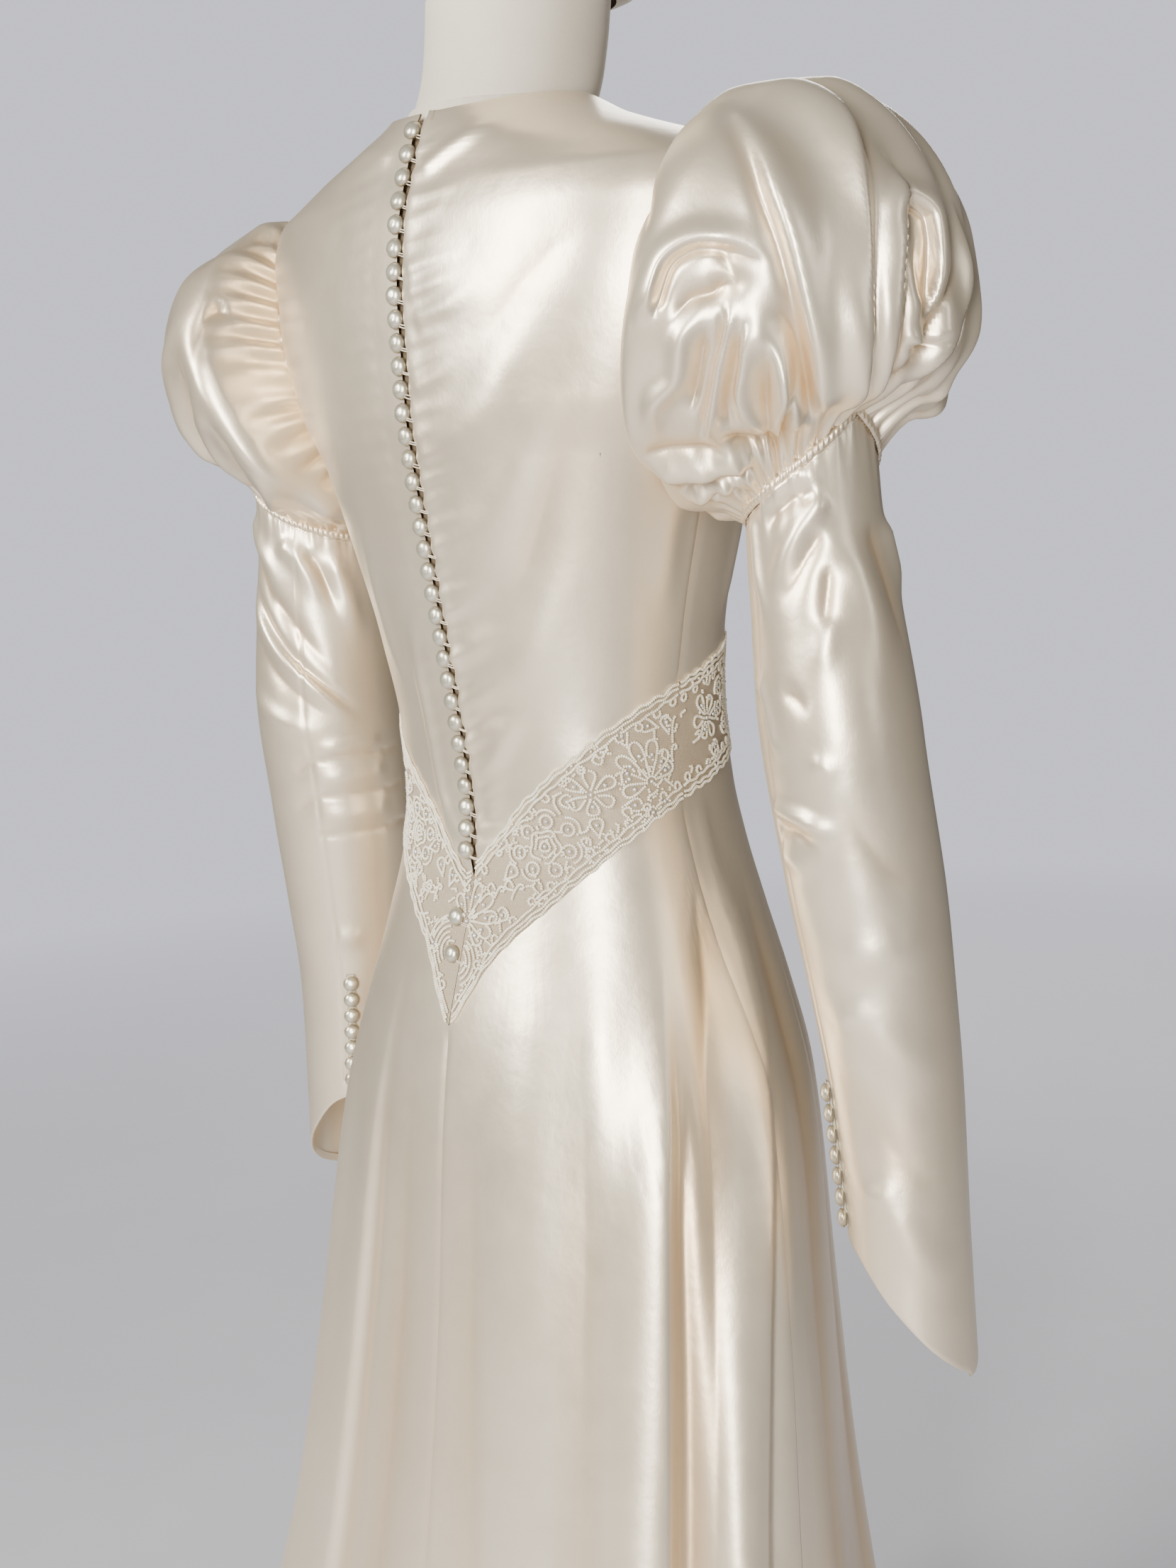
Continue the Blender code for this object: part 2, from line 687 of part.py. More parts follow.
FORM_COLUMNS = 32
FORM_CLEAR = 0.0042  # from the gown's outer surface in to the form
ARM_PLATE_CLEAR = 0.004
FORM_LEVELS = (
    0.834, 0.860, 0.890, 0.940, 0.980, 1.026, 1.090, 1.150, 1.205, 1.240, 1.285,
    1.325, 1.352, 1.368, 1.380, 1.392, 1.405, 1.418, 1.428,
)  # fmt: skip
# Rings of the neck and of the head: height, half width, middle to the back, half depth
NECK = (
    (1.4283, 0.0600, 0.003, 0.0600),
    (1.450, 0.0600, -0.006, 0.0600),
    (1.475, 0.0605, -0.012, 0.0605),
    (1.500, 0.0610, -0.016, 0.0610),
)
HEAD = (
    (1.5003, 0.050, -0.026, 0.066),
    (1.508, 0.059, -0.030, 0.082),
    (1.530, 0.066, -0.030, 0.093),
    (1.570, 0.072, -0.024, 0.100),
    (1.615, 0.076, -0.018, 0.101),
    (1.660, 0.075, -0.014, 0.098),
    (1.700, 0.066, -0.012, 0.086),
    (1.728, 0.048, -0.010, 0.064),
    (1.742, 0.026, -0.009, 0.036),
    (1.746, 0.010, -0.008, 0.014),
)
RING = 20  # columns round the neck and the head
POLE_RADIUS, POLE_SIDES = 0.014, 24
BASE_RADIUS, BASE_THICK, BASE_EDGE, BASE_SIDES = 0.140, 0.022, 0.006, 40


def make_torso(collection, linen):
    rows = []
    for height in FORM_LEVELS:
        row = []
        for i in range(FORM_COLUMNS):
            angle = 360 * i / FORM_COLUMNS - 180
            nearby = (body_point(angle, height + rise, -FORM_CLEAR) for rise in (0.0, FORM_CLEAR))
            point = min(nearby, key=lambda p: math.hypot(p.x, p.y))
            point.z = height
            if UNDERARM < height < SHOULDER:
                plate = armhole_x(height) - ARM_PLATE_CLEAR
                point.x = min(max(point.x, -plate), plate)
            row.append(point)
        rows.append(row)
    lofted_solid("form_torso", rows, collection, linen)


def make_rings(name, table, collection, linen):
    """The neck, or the head, which is a plain egg with no face."""
    rows = []
    for height, width, back, depth in table:
        turns = [2 * math.pi * i / RING for i in range(RING)]
        rows.append([Vector((width * math.sin(a), back + depth * math.cos(a), height)) for a in turns])
    lofted_solid(name, rows, collection, linen)


def make_stand(collection, steel):
    pole = bmesh.new()
    low, high = BASE_THICK + SEAM_GAP, FORM_LEVELS[0] - SEAM_GAP
    bmesh.ops.create_cone(
        pole,
        cap_ends=True,
        segments=POLE_SIDES,
        radius1=POLE_RADIUS,
        radius2=POLE_RADIUS,
        depth=high - low,
    )
    mesh = bpy.data.meshes.new("stand_pole")
    pole.to_mesh(mesh)
    pole.free()
    add_object("stand_pole", mesh, collection, steel).location = (0, 0, (low + high) / 2)
    profile = bpy.data.meshes.new("stand_base")
    outline = (
        (0.0, BASE_THICK),
        (BASE_RADIUS - 2 * BASE_EDGE, BASE_THICK),
        (BASE_RADIUS, BASE_THICK - BASE_EDGE),
        (BASE_RADIUS, 0.0),
        (0.0, 0.0),
    )
    profile.from_pydata([(x, 0.0, z) for x, z in outline], [(i, i + 1) for i in range(4)], [])
    turned(add_object("stand_base", profile, collection, steel), BASE_SIDES)


def new_collection(name):
    made = bpy.data.collections.new(name)
    bpy.context.scene.collection.children.link(made)
    return made


def main():
    for thing in list(bpy.data.objects):
        bpy.data.objects.remove(thing)
    parts = new_collection("wedding_dress")
    cutters = new_collection("cutters")
    satin = material("Ivory satin", (0.86, 0.80, 0.70), 0.30)
    net = material("Beaded net", (0.78, 0.73, 0.63), 0.55)
    covered = material("Covered buttons", (0.80, 0.77, 0.68), 0.35)
    linen = material("Form linen", (0.83, 0.80, 0.74), 0.80)
    steel = material("Painted steel", (0.75, 0.74, 0.72), 0.40, 0.6)
    make_bodice(parts, satin)
    make_band(parts, net)
    make_skirt(parts, satin)
    for name, side in (("left", 1), ("right", -1)):
        make_puff(name, side, parts, satin)
        make_gather_cord(name, side, parts, satin)
        make_sleeve(name, side, parts, satin)
        make_cuff_buttons(name, side, parts, cutters, covered)
    make_back_buttons(parts, covered)
    make_loop_tape(parts, satin)
    make_torso(parts, linen)
    make_rings("form_neck", NECK, parts, linen)
    make_rings("form_head", HEAD, parts, linen)
    make_stand(parts, steel)


main()
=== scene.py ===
"""Ivory satin wedding gown with a buttoned back, puffed sleeves and a beaded net band.

It is worn by a linen covered dress form. Metres, +Z up. The gown faces -Y."""

import math

import bpy
import numpy as np
from mathutils import Matrix, Vector


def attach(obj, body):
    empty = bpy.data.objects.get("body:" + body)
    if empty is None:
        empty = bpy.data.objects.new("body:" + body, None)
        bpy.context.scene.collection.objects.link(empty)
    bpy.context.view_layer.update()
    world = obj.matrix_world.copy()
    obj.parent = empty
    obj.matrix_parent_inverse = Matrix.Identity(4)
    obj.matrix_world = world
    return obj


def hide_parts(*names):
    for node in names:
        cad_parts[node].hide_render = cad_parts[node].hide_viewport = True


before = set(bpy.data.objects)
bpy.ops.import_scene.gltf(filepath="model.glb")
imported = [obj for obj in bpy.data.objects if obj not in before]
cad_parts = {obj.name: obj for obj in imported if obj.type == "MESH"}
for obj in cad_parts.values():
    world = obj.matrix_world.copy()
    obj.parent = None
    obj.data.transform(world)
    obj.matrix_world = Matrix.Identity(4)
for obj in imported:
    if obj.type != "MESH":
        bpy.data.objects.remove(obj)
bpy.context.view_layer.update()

# Bodice: two backs and a front of ivory silk satin, cut smooth and close to the body. Each edge is
# turned in and stitched. The right back laps to the buttons on the left one, and the loops pull
# small puckers into both.

CLOTH_GAP = 0.0003  # parts one piece from the next
BUTTON_EDGE = 0.0067  # the backs meet this far to the right of the centre back
LEFT_EDGE, RIGHT_EDGE = 0.0016, 0.0084  # where each back's own edge lies, to the right of the middle
BUTTON_HEIGHTS = np.linspace(1.4095, 0.9515, 33)
BUTTON_PITCH = BUTTON_HEIGHTS[0] - BUTTON_HEIGHTS[1]
PUCKER, TOP_SPREAD = 0.0006, 0.0016  # how far the edges pull at a button, and part at the neck
NECK_BACK, NECK_SIDE, NECK_FRONT = 1.420, 1.430, 1.378
UNDERARM, SHOULDER = 1.205, 1.372
UNDERARM_X, SHOULDER_X = 0.158, 0.203
# height, half width, reach to the back, reach to the front, squareness, middle to the back
BODY = (
    (1.440, 0.058, 0.071, 0.062, 2.0, 0.000),
    (1.430, 0.066, 0.074, 0.066, 2.0, 0.000),
    (1.420, 0.082, 0.080, 0.070, 2.0, 0.000),
    (1.408, 0.112, 0.087, 0.074, 2.1, 0.000),
    (1.394, 0.152, 0.092, 0.079, 2.2, 0.000),
    (1.382, 0.182, 0.096, 0.083, 2.2, 0.000),
    (1.372, 0.203, 0.100, 0.087, 2.2, 0.000),
    (1.350, 0.211, 0.106, 0.095, 2.2, 0.000),
    (1.295, 0.203, 0.112, 0.110, 2.3, 0.000),
    (1.240, 0.181, 0.112, 0.126, 2.3, 0.000),
    (1.205, 0.158, 0.109, 0.130, 2.3, 0.000),
    (1.150, 0.141, 0.102, 0.122, 2.2, 0.000),
    (1.090, 0.126, 0.094, 0.119, 2.1, 0.000),
    (1.026, 0.116, 0.085, 0.125, 2.1, 0.000),
    (0.976, 0.118, 0.081, 0.132, 2.1, 0.000),
    (0.940, 0.125, 0.086, 0.137, 2.1, 0.000),
    (0.890, 0.141, 0.099, 0.144, 2.1, 0.000),
    (0.837, 0.160, 0.114, 0.151, 2.1, 0.000),
    (0.770, 0.180, 0.127, 0.158, 2.1, 0.004),
    (0.640, 0.200, 0.145, 0.154, 2.1, 0.022),
    (0.470, 0.222, 0.173, 0.148, 2.2, 0.048),
    (0.250, 0.264, 0.226, 0.148, 2.3, 0.080),
    (0.000, 0.324, 0.300, 0.170, 2.4, 0.115),
)
BUST_HEIGHT, BUST_ANGLE, BUST_RISE = 1.212, 32.0, 0.014
# The net band's edges: angle from the centre back, height of its top, height of its foot
BAND = (
    (0, 0.934, 0.837),
    (11.25, 0.960, 0.884),
    (22.5, 0.985, 0.908),
    (45, 1.017, 0.942),
    (67.5, 1.040, 0.966),
    (90, 1.056, 0.982),
    (135, 1.080, 1.002),
    (180, 1.096, 1.010),
)


def curve(rows, column=1):
    """A smooth curve through one column of a table, by its first. It never overshoots."""
    x, y = np.array(sorted((row[0], row[column]) for row in rows), float).T
    step = np.diff(x)
    slope = np.diff(y) / step
    same = slope[1:] * slope[:-1] > 0
    before, after = np.where(same, slope[:-1], 1), np.where(same, slope[1:], 1)
    w1, w2 = 2 * step[1:] + step[:-1], step[1:] + 2 * step[:-1]
    inner = np.where(same, (w1 + w2) / (w1 / before + w2 / after), 0)
    tangent = np.concatenate([[slope[0]], inner, [slope[-1]]])

    def at(value):
        value = np.clip(value, x[0], x[-1])
        i = np.clip(np.searchsorted(x, value, side="right") - 1, 0, len(step) - 1)
        t = (value - x[i]) / step[i]
        low = (1 + 2 * t) * (1 - t) ** 2 * y[i] + t * (1 - t) ** 2 * step[i] * tangent[i]
        high = t * t * (3 - 2 * t) * y[i + 1] - t * t * (1 - t) * step[i] * tangent[i + 1]
        return low + high

    return at


half_width, back_reach, front_reach, squareness, middle_back = (curve(BODY, n) for n in range(1, 6))
band_top, band_foot = curve(BAND, 1), curve(BAND, 2)


def ramp(value, start, end):
    """0 before start and 1 after end, smooth between them."""
    t = np.clip((value - start) / (end - start), 0.0, 1.0)
    return t * t * (3 - 2 * t)


def off_back(angle):
    """The angle from the centre back, 0 to 180, whichever way round it is measured."""
    return 180 - np.abs(np.abs(angle) - 180)


def body_surface(angle, height, out=0.0):
    """Points of the gown's surface, by degrees from the centre back towards the wearer's left."""
    angle, height = np.broadcast_arrays(np.asarray(angle, float), np.asarray(height, float))
    a, power, middle = np.radians(angle), 2 / squareness(height), middle_back(height)
    sine, cosine = np.sin(a), np.cos(a)
    depth = np.where(cosine > 0, back_reach(height) - middle, front_reach(height) + middle)
    x = half_width(height) * np.sign(sine) * np.abs(sine) ** power
    y = depth * np.sign(cosine) * np.abs(cosine) ** power
    aside = (180 - off_back(angle) - BUST_ANGLE) / 20
    above = (height - BUST_HEIGHT) / 0.05
    y = y - BUST_RISE * np.exp(-(aside**2) - above**2) * np.maximum(0.0, -cosine)
    grow = 1 + out / np.hypot(x, y)
    return np.stack([x * grow, y * grow + middle, height], axis=-1)


def neck_height(angle):
    a = off_back(angle)
    back = NECK_BACK + (NECK_SIDE - NECK_BACK) * ramp(a, 0, 90)
    return np.where(a <= 90, back, NECK_SIDE + (NECK_FRONT - NECK_SIDE) * ramp(a, 90, 180))


def armhole_x(height):
    return UNDERARM_X + (SHOULDER_X - UNDERARM_X) * (height - UNDERARM) / (SHOULDER - UNDERARM)


def side_angle(height):
    """How far round a panel reaches: to the armhole, or just short of the side seam."""
    power = squareness(height) / 2
    share = np.clip(armhole_x(height) / half_width(height), 0, 1)
    armhole = np.degrees(np.arcsin(share**power))
    return np.where((height > UNDERARM) & (height < SHOULDER), np.minimum(armhole, 90), 90)


def closing_edge(height, edge=BUTTON_EDGE):
    share = np.clip((height - band_foot(0)) / (band_top(0) - band_foot(0)), 0.0, 1.0)
    opened = ramp(height, band_top(0) - 0.004, band_top(0) + 0.016)
    pulled = PUCKER * np.cos(2 * math.pi * (height - BUTTON_HEIGHTS[0]) / BUTTON_PITCH)
    spread_top = TOP_SPREAD * ramp(height, 1.340, 1.400) * (edge > BUTTON_EDGE)
    far = share * BUTTON_EDGE + (edge - BUTTON_EDGE - pulled * (edge > BUTTON_EDGE)) * opened + spread_top
    return np.degrees(np.arcsin((far / half_width(height)) ** (squareness(height) / 2)))


def panel_angle(at, height, front, edge=BUTTON_EDGE):
    """Angle of a point of a panel, whose own columns run from its closing edge at 0 to its side at 90."""
    reach = side_angle(height) / 90
    if front:
        return 180 + (at - 180) * reach
    return at * reach - closing_edge(height, edge) * (1 - np.abs(at) / 90)


def facing(points, closed=False):
    """Which way each point of a grid faces. The columns run to the wearer's left and the rows up."""
    if closed:
        around = np.roll(points, -1, 1) - np.roll(points, 1, 1)
    else:
        around = np.gradient(points, axis=1)
    normal = np.cross(np.gradient(points, axis=0), around)
    return normal / np.maximum(np.linalg.norm(normal, axis=-1, keepdims=True), 1e-12)


def laid_line(surface, spots, count=48):
    """Points along a smooth line drawn on a surface through (across, up) spots."""
    rows = [(n, *spot) for n, spot in enumerate(spots)]
    at = np.linspace(0, len(spots) - 1, count)
    return surface(curve(rows, 1)(at), curve(rows, 2)(at))


def fold(points, normals, line, width, height, narrow=1.0, lap=0.0, ends=(0.3, 0.3)):
    """How one fold moves a surface: a soft ridge along the line, or a narrow valley where height is
    negative. Narrow is its width at the line's end, as a share. A lap pushes the ridge over what
    lies to the line's right, or to its left where it is negative, and cuts that side steep."""
    shape = points.shape
    flat, facing_out = points.reshape(-1, 3), normals.reshape(-1, 3)
    low, high = line.min(0) - 4 * width, line.max(0) + 4 * width
    near = np.flatnonzero(((flat > low) & (flat < high)).all(1))
    moved = np.zeros_like(flat)
    if not len(near):
        return moved.reshape(shape)
    which = ((flat[near, None] - line[None]) ** 2).sum(2).argmin(1)
    gap = flat[near] - line[which]
    tangent = np.gradient(line, axis=0)
    tangent = (tangent / np.linalg.norm(tangent, axis=1, keepdims=True))[which]
    past = (gap * tangent).sum(1)
    past[(which == 0) & (past < 0) | (which == len(line) - 1) & (past > 0)] = 0
    gap = gap - tangent * past[:, None]
    away = np.linalg.norm(gap, axis=1)
    step = np.linalg.norm(np.diff(line, axis=0), axis=1).mean()
    along = np.clip((which + past / step) / (len(line) - 1), 0, 1)
    right = np.cross(tangent, facing_out[near])
    right /= np.maximum(np.linalg.norm(right, axis=1, keepdims=True), 1e-12)
    side = (right * gap).sum(1)
    wide = width * (1 + (narrow - 1) * along)
    start = ramp(along, 0.0, ends[0]) if ends[0] else 1.0
    finish = ramp(1 - along, 0.0, ends[1]) if ends[1] else 1.0
    if height < 0:
        profile = np.exp(-((away / wide) ** 1.3))
    elif lap:
        under = side * np.sign(lap)
        steep = np.where(under > 0, 0.25, 1.0)
        shadow = np.exp(-(((under - 0.6 * wide) / (0.45 * wide)) ** 2)) * (away < 2.5 * wide)
        profile = np.exp(-((away / (wide * steep)) ** 2)) - 0.55 * shadow
    else:
        profile = np.exp(-((away / wide) ** 2))
    amount = (profile * start * finish)[:, None]
    moved[near] = facing_out[near] * amount * height
    if lap:
        moved[near] += right * (np.exp(-((away / (0.6 * wide)) ** 2)) * start * finish)[:, None] * lap
    return moved.reshape(shape)


def folded(points, surface, folds, closed=False):
    """A surface with a table of folds: spots, width, height, narrow, lap, ends."""
    normals = facing(points, closed)
    moved = np.zeros_like(points)
    for spots, width, height, narrow, lap, ends in folds:
        line = laid_line(surface, spots)
        moved += fold(points, normals, line, width, height, narrow, lap, ends)
    return points + moved


def turned_in(points, depth=0.007, radius=0.0007, foot=True, top=True, sign=1):
    """A grid with its foot and top edges rolled over and turned in, as a narrow hem."""
    inward = -facing(points) * sign
    climb = points[1] - points[0]
    up = climb / np.linalg.norm(climb, axis=-1, keepdims=True)
    rows = list(points)
    if foot:
        roll = [
            points[0] + inward[0] * radius * (1 - math.cos(t)) - up * radius * math.sin(t)
            for t in (0.6, 1.2, 1.9, 2.5, 3.1)
        ]
        rows = [roll[-1] + up * depth, *reversed(roll), *rows]
    if top:
        fall = points[-1] - points[-2]
        over = fall / np.linalg.norm(fall, axis=-1, keepdims=True)
        roll = [
            points[-1] + inward[-1] * radius * (1 - math.cos(t)) + over * radius * math.sin(t)
            for t in (0.6, 1.2, 1.9, 2.5, 3.1)
        ]
        rows = [*rows, *roll, roll[-1] - over * depth]
    return np.array(rows)


def cloth(name, points, material, closed=False, depth=None):
    """A piece of cloth from a grid of points. Its depth layer is below 0 in the valleys, and sets the painted
    shade there.
    """
    deep, wide = points.shape[:2]
    index = np.arange(deep * wide).reshape(deep, wide)
    right = np.roll(index, -1, 1) if closed else index[:, 1:]
    left = index if closed else index[:, :-1]
    quads = np.stack([left[:-1], left[1:], right[1:], right[:-1]], axis=-1).reshape(-1, 4)
    mesh = bpy.data.meshes.new(name)
    mesh.vertices.add(deep * wide)
    mesh.vertices.foreach_set("co", points.reshape(-1).astype(np.float32))
    mesh.loops.add(quads.size)
    mesh.loops.foreach_set("vertex_index", quads.reshape(-1).astype(np.int32))
    mesh.polygons.add(len(quads))
    mesh.polygons.foreach_set("loop_start", (np.arange(len(quads)) * 4).astype(np.int32))
    mesh.polygons.foreach_set("use_smooth", np.ones(len(quads), bool))
    mesh.update(calc_edges=True)
    layer = mesh.attributes.new("depth", "FLOAT", "POINT")
    depth = np.zeros(deep * wide) if depth is None else depth.reshape(-1)
    layer.data.foreach_set("value", depth.astype(np.float32))
    mesh.materials.append(material)
    piece = bpy.data.objects.new(name, mesh)
    bpy.context.scene.collection.objects.link(piece)
    return piece


def new_material(name):
    made = bpy.data.materials.new(name)
    made.use_nodes = True
    nodes, links = made.node_tree.nodes, made.node_tree.links
    return made, nodes, links, nodes["Principled BSDF"]


def noise(nodes, links, scale, detail, roughness=0.5, stretch=(1, 1, 1)):
    place = nodes.new("ShaderNodeTexCoord")
    spread = nodes.new("ShaderNodeMapping")
    spread.inputs["Scale"].default_value = stretch
    links.new(place.outputs["Object"], spread.inputs["Vector"])
    made = nodes.new("ShaderNodeTexNoise")
    made.inputs["Scale"].default_value = scale
    made.inputs["Detail"].default_value = detail
    made.inputs["Roughness"].default_value = roughness
    links.new(spread.outputs["Vector"], made.inputs["Vector"])
    return made.outputs["Fac"]


def colour_ramp(nodes, links, factor, stops):
    made = nodes.new("ShaderNodeValToRGB")
    while len(made.color_ramp.elements) < len(stops):
        made.color_ramp.elements.new(0.5)
    for element, (place, colour) in zip(made.color_ramp.elements, stops):
        element.position = place
        element.color = (*colour, 1.0)
    links.new(factor, made.inputs["Fac"])
    return made.outputs["Color"]


def mixed(nodes, links, factor, first, second, blend="MIX"):
    made = nodes.new("ShaderNodeMix")
    made.data_type = "RGBA"
    made.blend_type = blend
    for value, socket in zip((factor, first, second), (made.inputs[0], made.inputs[6], made.inputs[7])):
        if isinstance(value, (int, float, tuple)):
            socket.default_value = value
        else:
            links.new(value, socket)
    return made.outputs[2]


def bumped(nodes, links, height, strength, distance, normal=None):
    made = nodes.new("ShaderNodeBump")
    made.inputs["Strength"].default_value = strength
    made.inputs["Distance"].default_value = distance
    links.new(height, made.inputs["Height"])
    if normal:
        links.new(normal, made.inputs["Normal"])
    return made.outputs["Normal"]


def satin_material(name, light, shade, valley, roughness=0.34):
    """Heavy silk satin: a soft bright float on the face, slightly uneven, with painted shade, darker and
    warmer, mixed into its folds by the depth layer.
    """
    made, nodes, links, shader = new_material(name)
    age = noise(nodes, links, 7.0, 3.0)
    body = colour_ramp(nodes, links, age, ((0.35, shade), (0.62, light)))
    # Painted shade: the valley colour is mixed into the base colour where the depth layer marks a fold's
    # hollow.
    depth = nodes.new("ShaderNodeAttribute")
    depth.attribute_name = "depth"
    low = colour_ramp(nodes, links, depth.outputs["Fac"], ((0.0, (0, 0, 0)), (1.0, (1, 1, 1))))
    tone_with_painted_shade = mixed(nodes, links, low, body, (*valley, 1.0))
    links.new(tone_with_painted_shade, shader.inputs["Base Color"])
    grain = noise(nodes, links, 900.0, 2.0, 0.6, (1, 1, 0.35))
    soft = noise(nodes, links, 42.0, 3.0, 0.55)
    rough = nodes.new("ShaderNodeMapRange")
    rough.inputs["To Min"].default_value = roughness - 0.05
    rough.inputs["To Max"].default_value = roughness + 0.06
    links.new(soft, rough.inputs["Value"])
    links.new(rough.outputs["Result"], shader.inputs["Roughness"])
    normal = bumped(nodes, links, soft, 0.10, 0.004)
    normal = bumped(nodes, links, grain, 0.10, 0.0004, normal)
    links.new(normal, shader.inputs["Normal"])
    shader.inputs["Metallic"].default_value = 0.70
    shader.inputs["Specular IOR Level"].default_value = 0.80
    shader.inputs["Sheen Weight"].default_value = 0.06
    shader.inputs["Sheen Roughness"].default_value = 0.4
    shader.inputs["Sheen Tint"].default_value = (1.0, 0.96, 0.90, 1.0)
    return made


def painted_fold_shade(points, smooth, strength):
    """The depth layer: how far each point lies below the smooth surface, up to 1 in the valleys. It sets the
    painted shade in the folds.
    """
    below = ((smooth - points) * facing(smooth)).sum(-1)
    return np.clip(below * strength, 0.0, 1.0)


# The third colour is painted shade, darker and warmer, laid into the valleys of the folds.
satin = satin_material("ivory_satin", (0.87, 0.755, 0.575), (0.83, 0.70, 0.515), (0.74, 0.53, 0.30))

# Creases of the right back, from its closing edge: spots (angle, height), width, height, share of
# the width at the end, lap, how soon each end dies away
RIGHT_BACK_FOLDS = [
    (((-9, 1.190), (-20, 1.245), (-33, 1.305)), 0.0190, 0.0024, 0.8, 0, (0.4, 0.5)),
    (((-10, 1.120), (-24, 1.180), (-40, 1.262)), 0.0210, 0.0026, 0.8, 0, (0.4, 0.5)),
    (((-26, 1.105), (-36, 1.175), (-45, 1.265)), 0.0170, -0.0022, 0.8, 0, (0.4, 0.5)),
    (((-15, 1.262), (-28, 1.312), (-42, 1.340)), 0.0170, -0.0018, 0.8, 0, (0.4, 0.5)),
    (((-14, 1.040), (-30, 1.085), (-48, 1.150)), 0.0200, 0.0024, 0.8, 0, (0.4, 0.5)),
    (((-3, 1.383), (-12, 1.394), (-25, 1.403), (-38, 1.409)), 0.0065, 0.0024, 0.7, 0, (0.1, 0.5)),
    (((-2, 1.323), (-7, 1.332), (-16, 1.339)), 0.0065, 0.0012, 1.2, 0, (0.1, 0.6)),
    (((-2, 1.310), (-8, 1.316), (-17, 1.327)), 0.0065, 0.0012, 1.2, 0, (0.1, 0.6)),
    (((-3, 1.290), (-11, 1.301), (-19, 1.318)), 0.0070, 0.0014, 1.3, 0, (0.1, 0.6)),
    (((-2, 1.252), (-9, 1.262), (-16, 1.280)), 0.0070, 0.0012, 1.3, 0, (0.1, 0.6)),
    (((-2, 1.212), (-10, 1.220), (-18, 1.236)), 0.0080, 0.0012, 1.4, 0, (0.1, 0.6)),
    (((-2, 1.150), (-11, 1.160), (-22, 1.178)), 0.0080, 0.0014, 1.4, 0, (0.1, 0.6)),
    (((-2, 1.112), (-12, 1.122), (-23, 1.136)), 0.0080, 0.0014, 1.3, 0, (0.1, 0.6)),
    (((-2, 1.076), (-14, 1.091), (-27, 1.103)), 0.0075, 0.0018, 1.3, 0, (0.1, 0.6)),
    (((-1, 1.042), (-12, 1.057), (-25, 1.073)), 0.0075, 0.0022, 1.3, 0, (0.1, 0.6)),
    (((-2, 1.019), (-13, 1.033), (-26, 1.046)), 0.0070, 0.0022, 1.3, 0, (0.1, 0.6)),
    (((-2, 1.000), (-11, 1.011), (-20, 1.032), (-27, 1.052)), 0.0070, 0.0026, 1.3, 0, (0.1, 0.5)),
    (((-2, 0.984), (-10, 0.994), (-18, 1.010)), 0.0055, 0.0020, 1.2, 0, (0.1, 0.6)),
    (((-2, 0.969), (-10, 0.980), (-15, 0.996)), 0.0055, 0.0020, 1.2, 0, (0.1, 0.6)),
    (((-2, 0.955), (-7, 0.964), (-12, 0.976)), 0.0045, 0.0014, 1.2, 0, (0.1, 0.6)),
    (((-84, 1.200), (-78, 1.150), (-80, 1.090)), 0.0100, 0.0026, 1.0, 0, (0.3, 0.4)),
    (((-74, 1.345), (-62, 1.310), (-58, 1.260)), 0.0120, -0.0020, 1.0, 0, (0.2, 0.6)),
]
LEFT_BACK_FOLDS = [
    (((3, 1.395), (18, 1.402), (34, 1.405)), 0.0070, 0.0016, 0.8, 0, (0.2, 0.5)),
    (((10, 1.120), (14, 1.060), (13, 1.000), (8, 0.960)), 0.0060, 0.0022, 0.8, 0, (0.4, 0.2)),
    (((22, 1.180), (30, 1.110), (26, 1.050)), 0.0110, 0.0024, 0.8, 0, (0.4, 0.4)),
    (((78, 1.200), (72, 1.150), (76, 1.090)), 0.0100, 0.0026, 1.0, 0, (0.3, 0.4)),
    (((60, 1.340), (52, 1.300), (50, 1.240)), 0.0120, -0.0022, 1.0, 0, (0.2, 0.6)),
]
FRONT_FOLDS = [
    (((148, 1.196), (150, 1.150), (153, 1.105)), 0.0080, -0.0016, 0.4, 0, (0.5, 0.1)),
    (((212, 1.196), (210, 1.150), (207, 1.105)), 0.0080, -0.0016, 0.4, 0, (0.5, 0.1)),
    (((112, 1.235), (126, 1.225), (140, 1.222)), 0.0090, 0.0024, 0.8, 0, (0.2, 0.5)),
    (((248, 1.238), (234, 1.226), (221, 1.220)), 0.0090, 0.0026, 0.8, 0, (0.2, 0.5)),
    (((118, 1.300), (134, 1.312), (152, 1.320)), 0.0110, 0.0020, 0.9, 0, (0.2, 0.6)),
    (((243, 1.296), (226, 1.310), (210, 1.316)), 0.0110, 0.0022, 0.9, 0, (0.2, 0.6)),
    (((108, 1.180), (116, 1.140), (118, 1.090)), 0.0100, 0.0024, 0.9, 0, (0.3, 0.3)),
    (((251, 1.184), (243, 1.142), (244, 1.090)), 0.0100, 0.0022, 0.9, 0, (0.3, 0.3)),
]
chance = np.random.default_rng(7)
for number, height in enumerate(BUTTON_HEIGHTS[1:], 1):
    rise, reach = chance.uniform(0.002, 0.006), chance.uniform(9, 16)
    lift = chance.uniform(0.0006, 0.0012)
    RIGHT_BACK_FOLDS.append(
        (
            ((-2.5, height), (-reach * 0.6, height + rise), (-reach, height + 2 * rise)), 0.0032, lift,
            1.2, 0, (0, 0.8)
        )
    )
    LEFT_BACK_FOLDS.append(
        (
            ((4.5, height + 0.001), (4 + reach * 0.7, height - rise), (6 + reach, height - 2 * rise)),
            0.0034, lift * 0.5, 1.3, 0, (0.1, 0.8)
        )
    )


def panel_grid(first, last, wide, deep, foot, top, edge=BUTTON_EDGE):
    """Angle and height of each point of a panel that runs from one seam line up to another."""
    at = np.linspace(first, last, wide)
    climb = np.linspace(0, 1, deep)[:, None]
    low, high = foot(off_back(at))[None], top(at)[None]
    height = low + climb * (high - low)
    return panel_angle(at[None], height, last > 180, edge), height


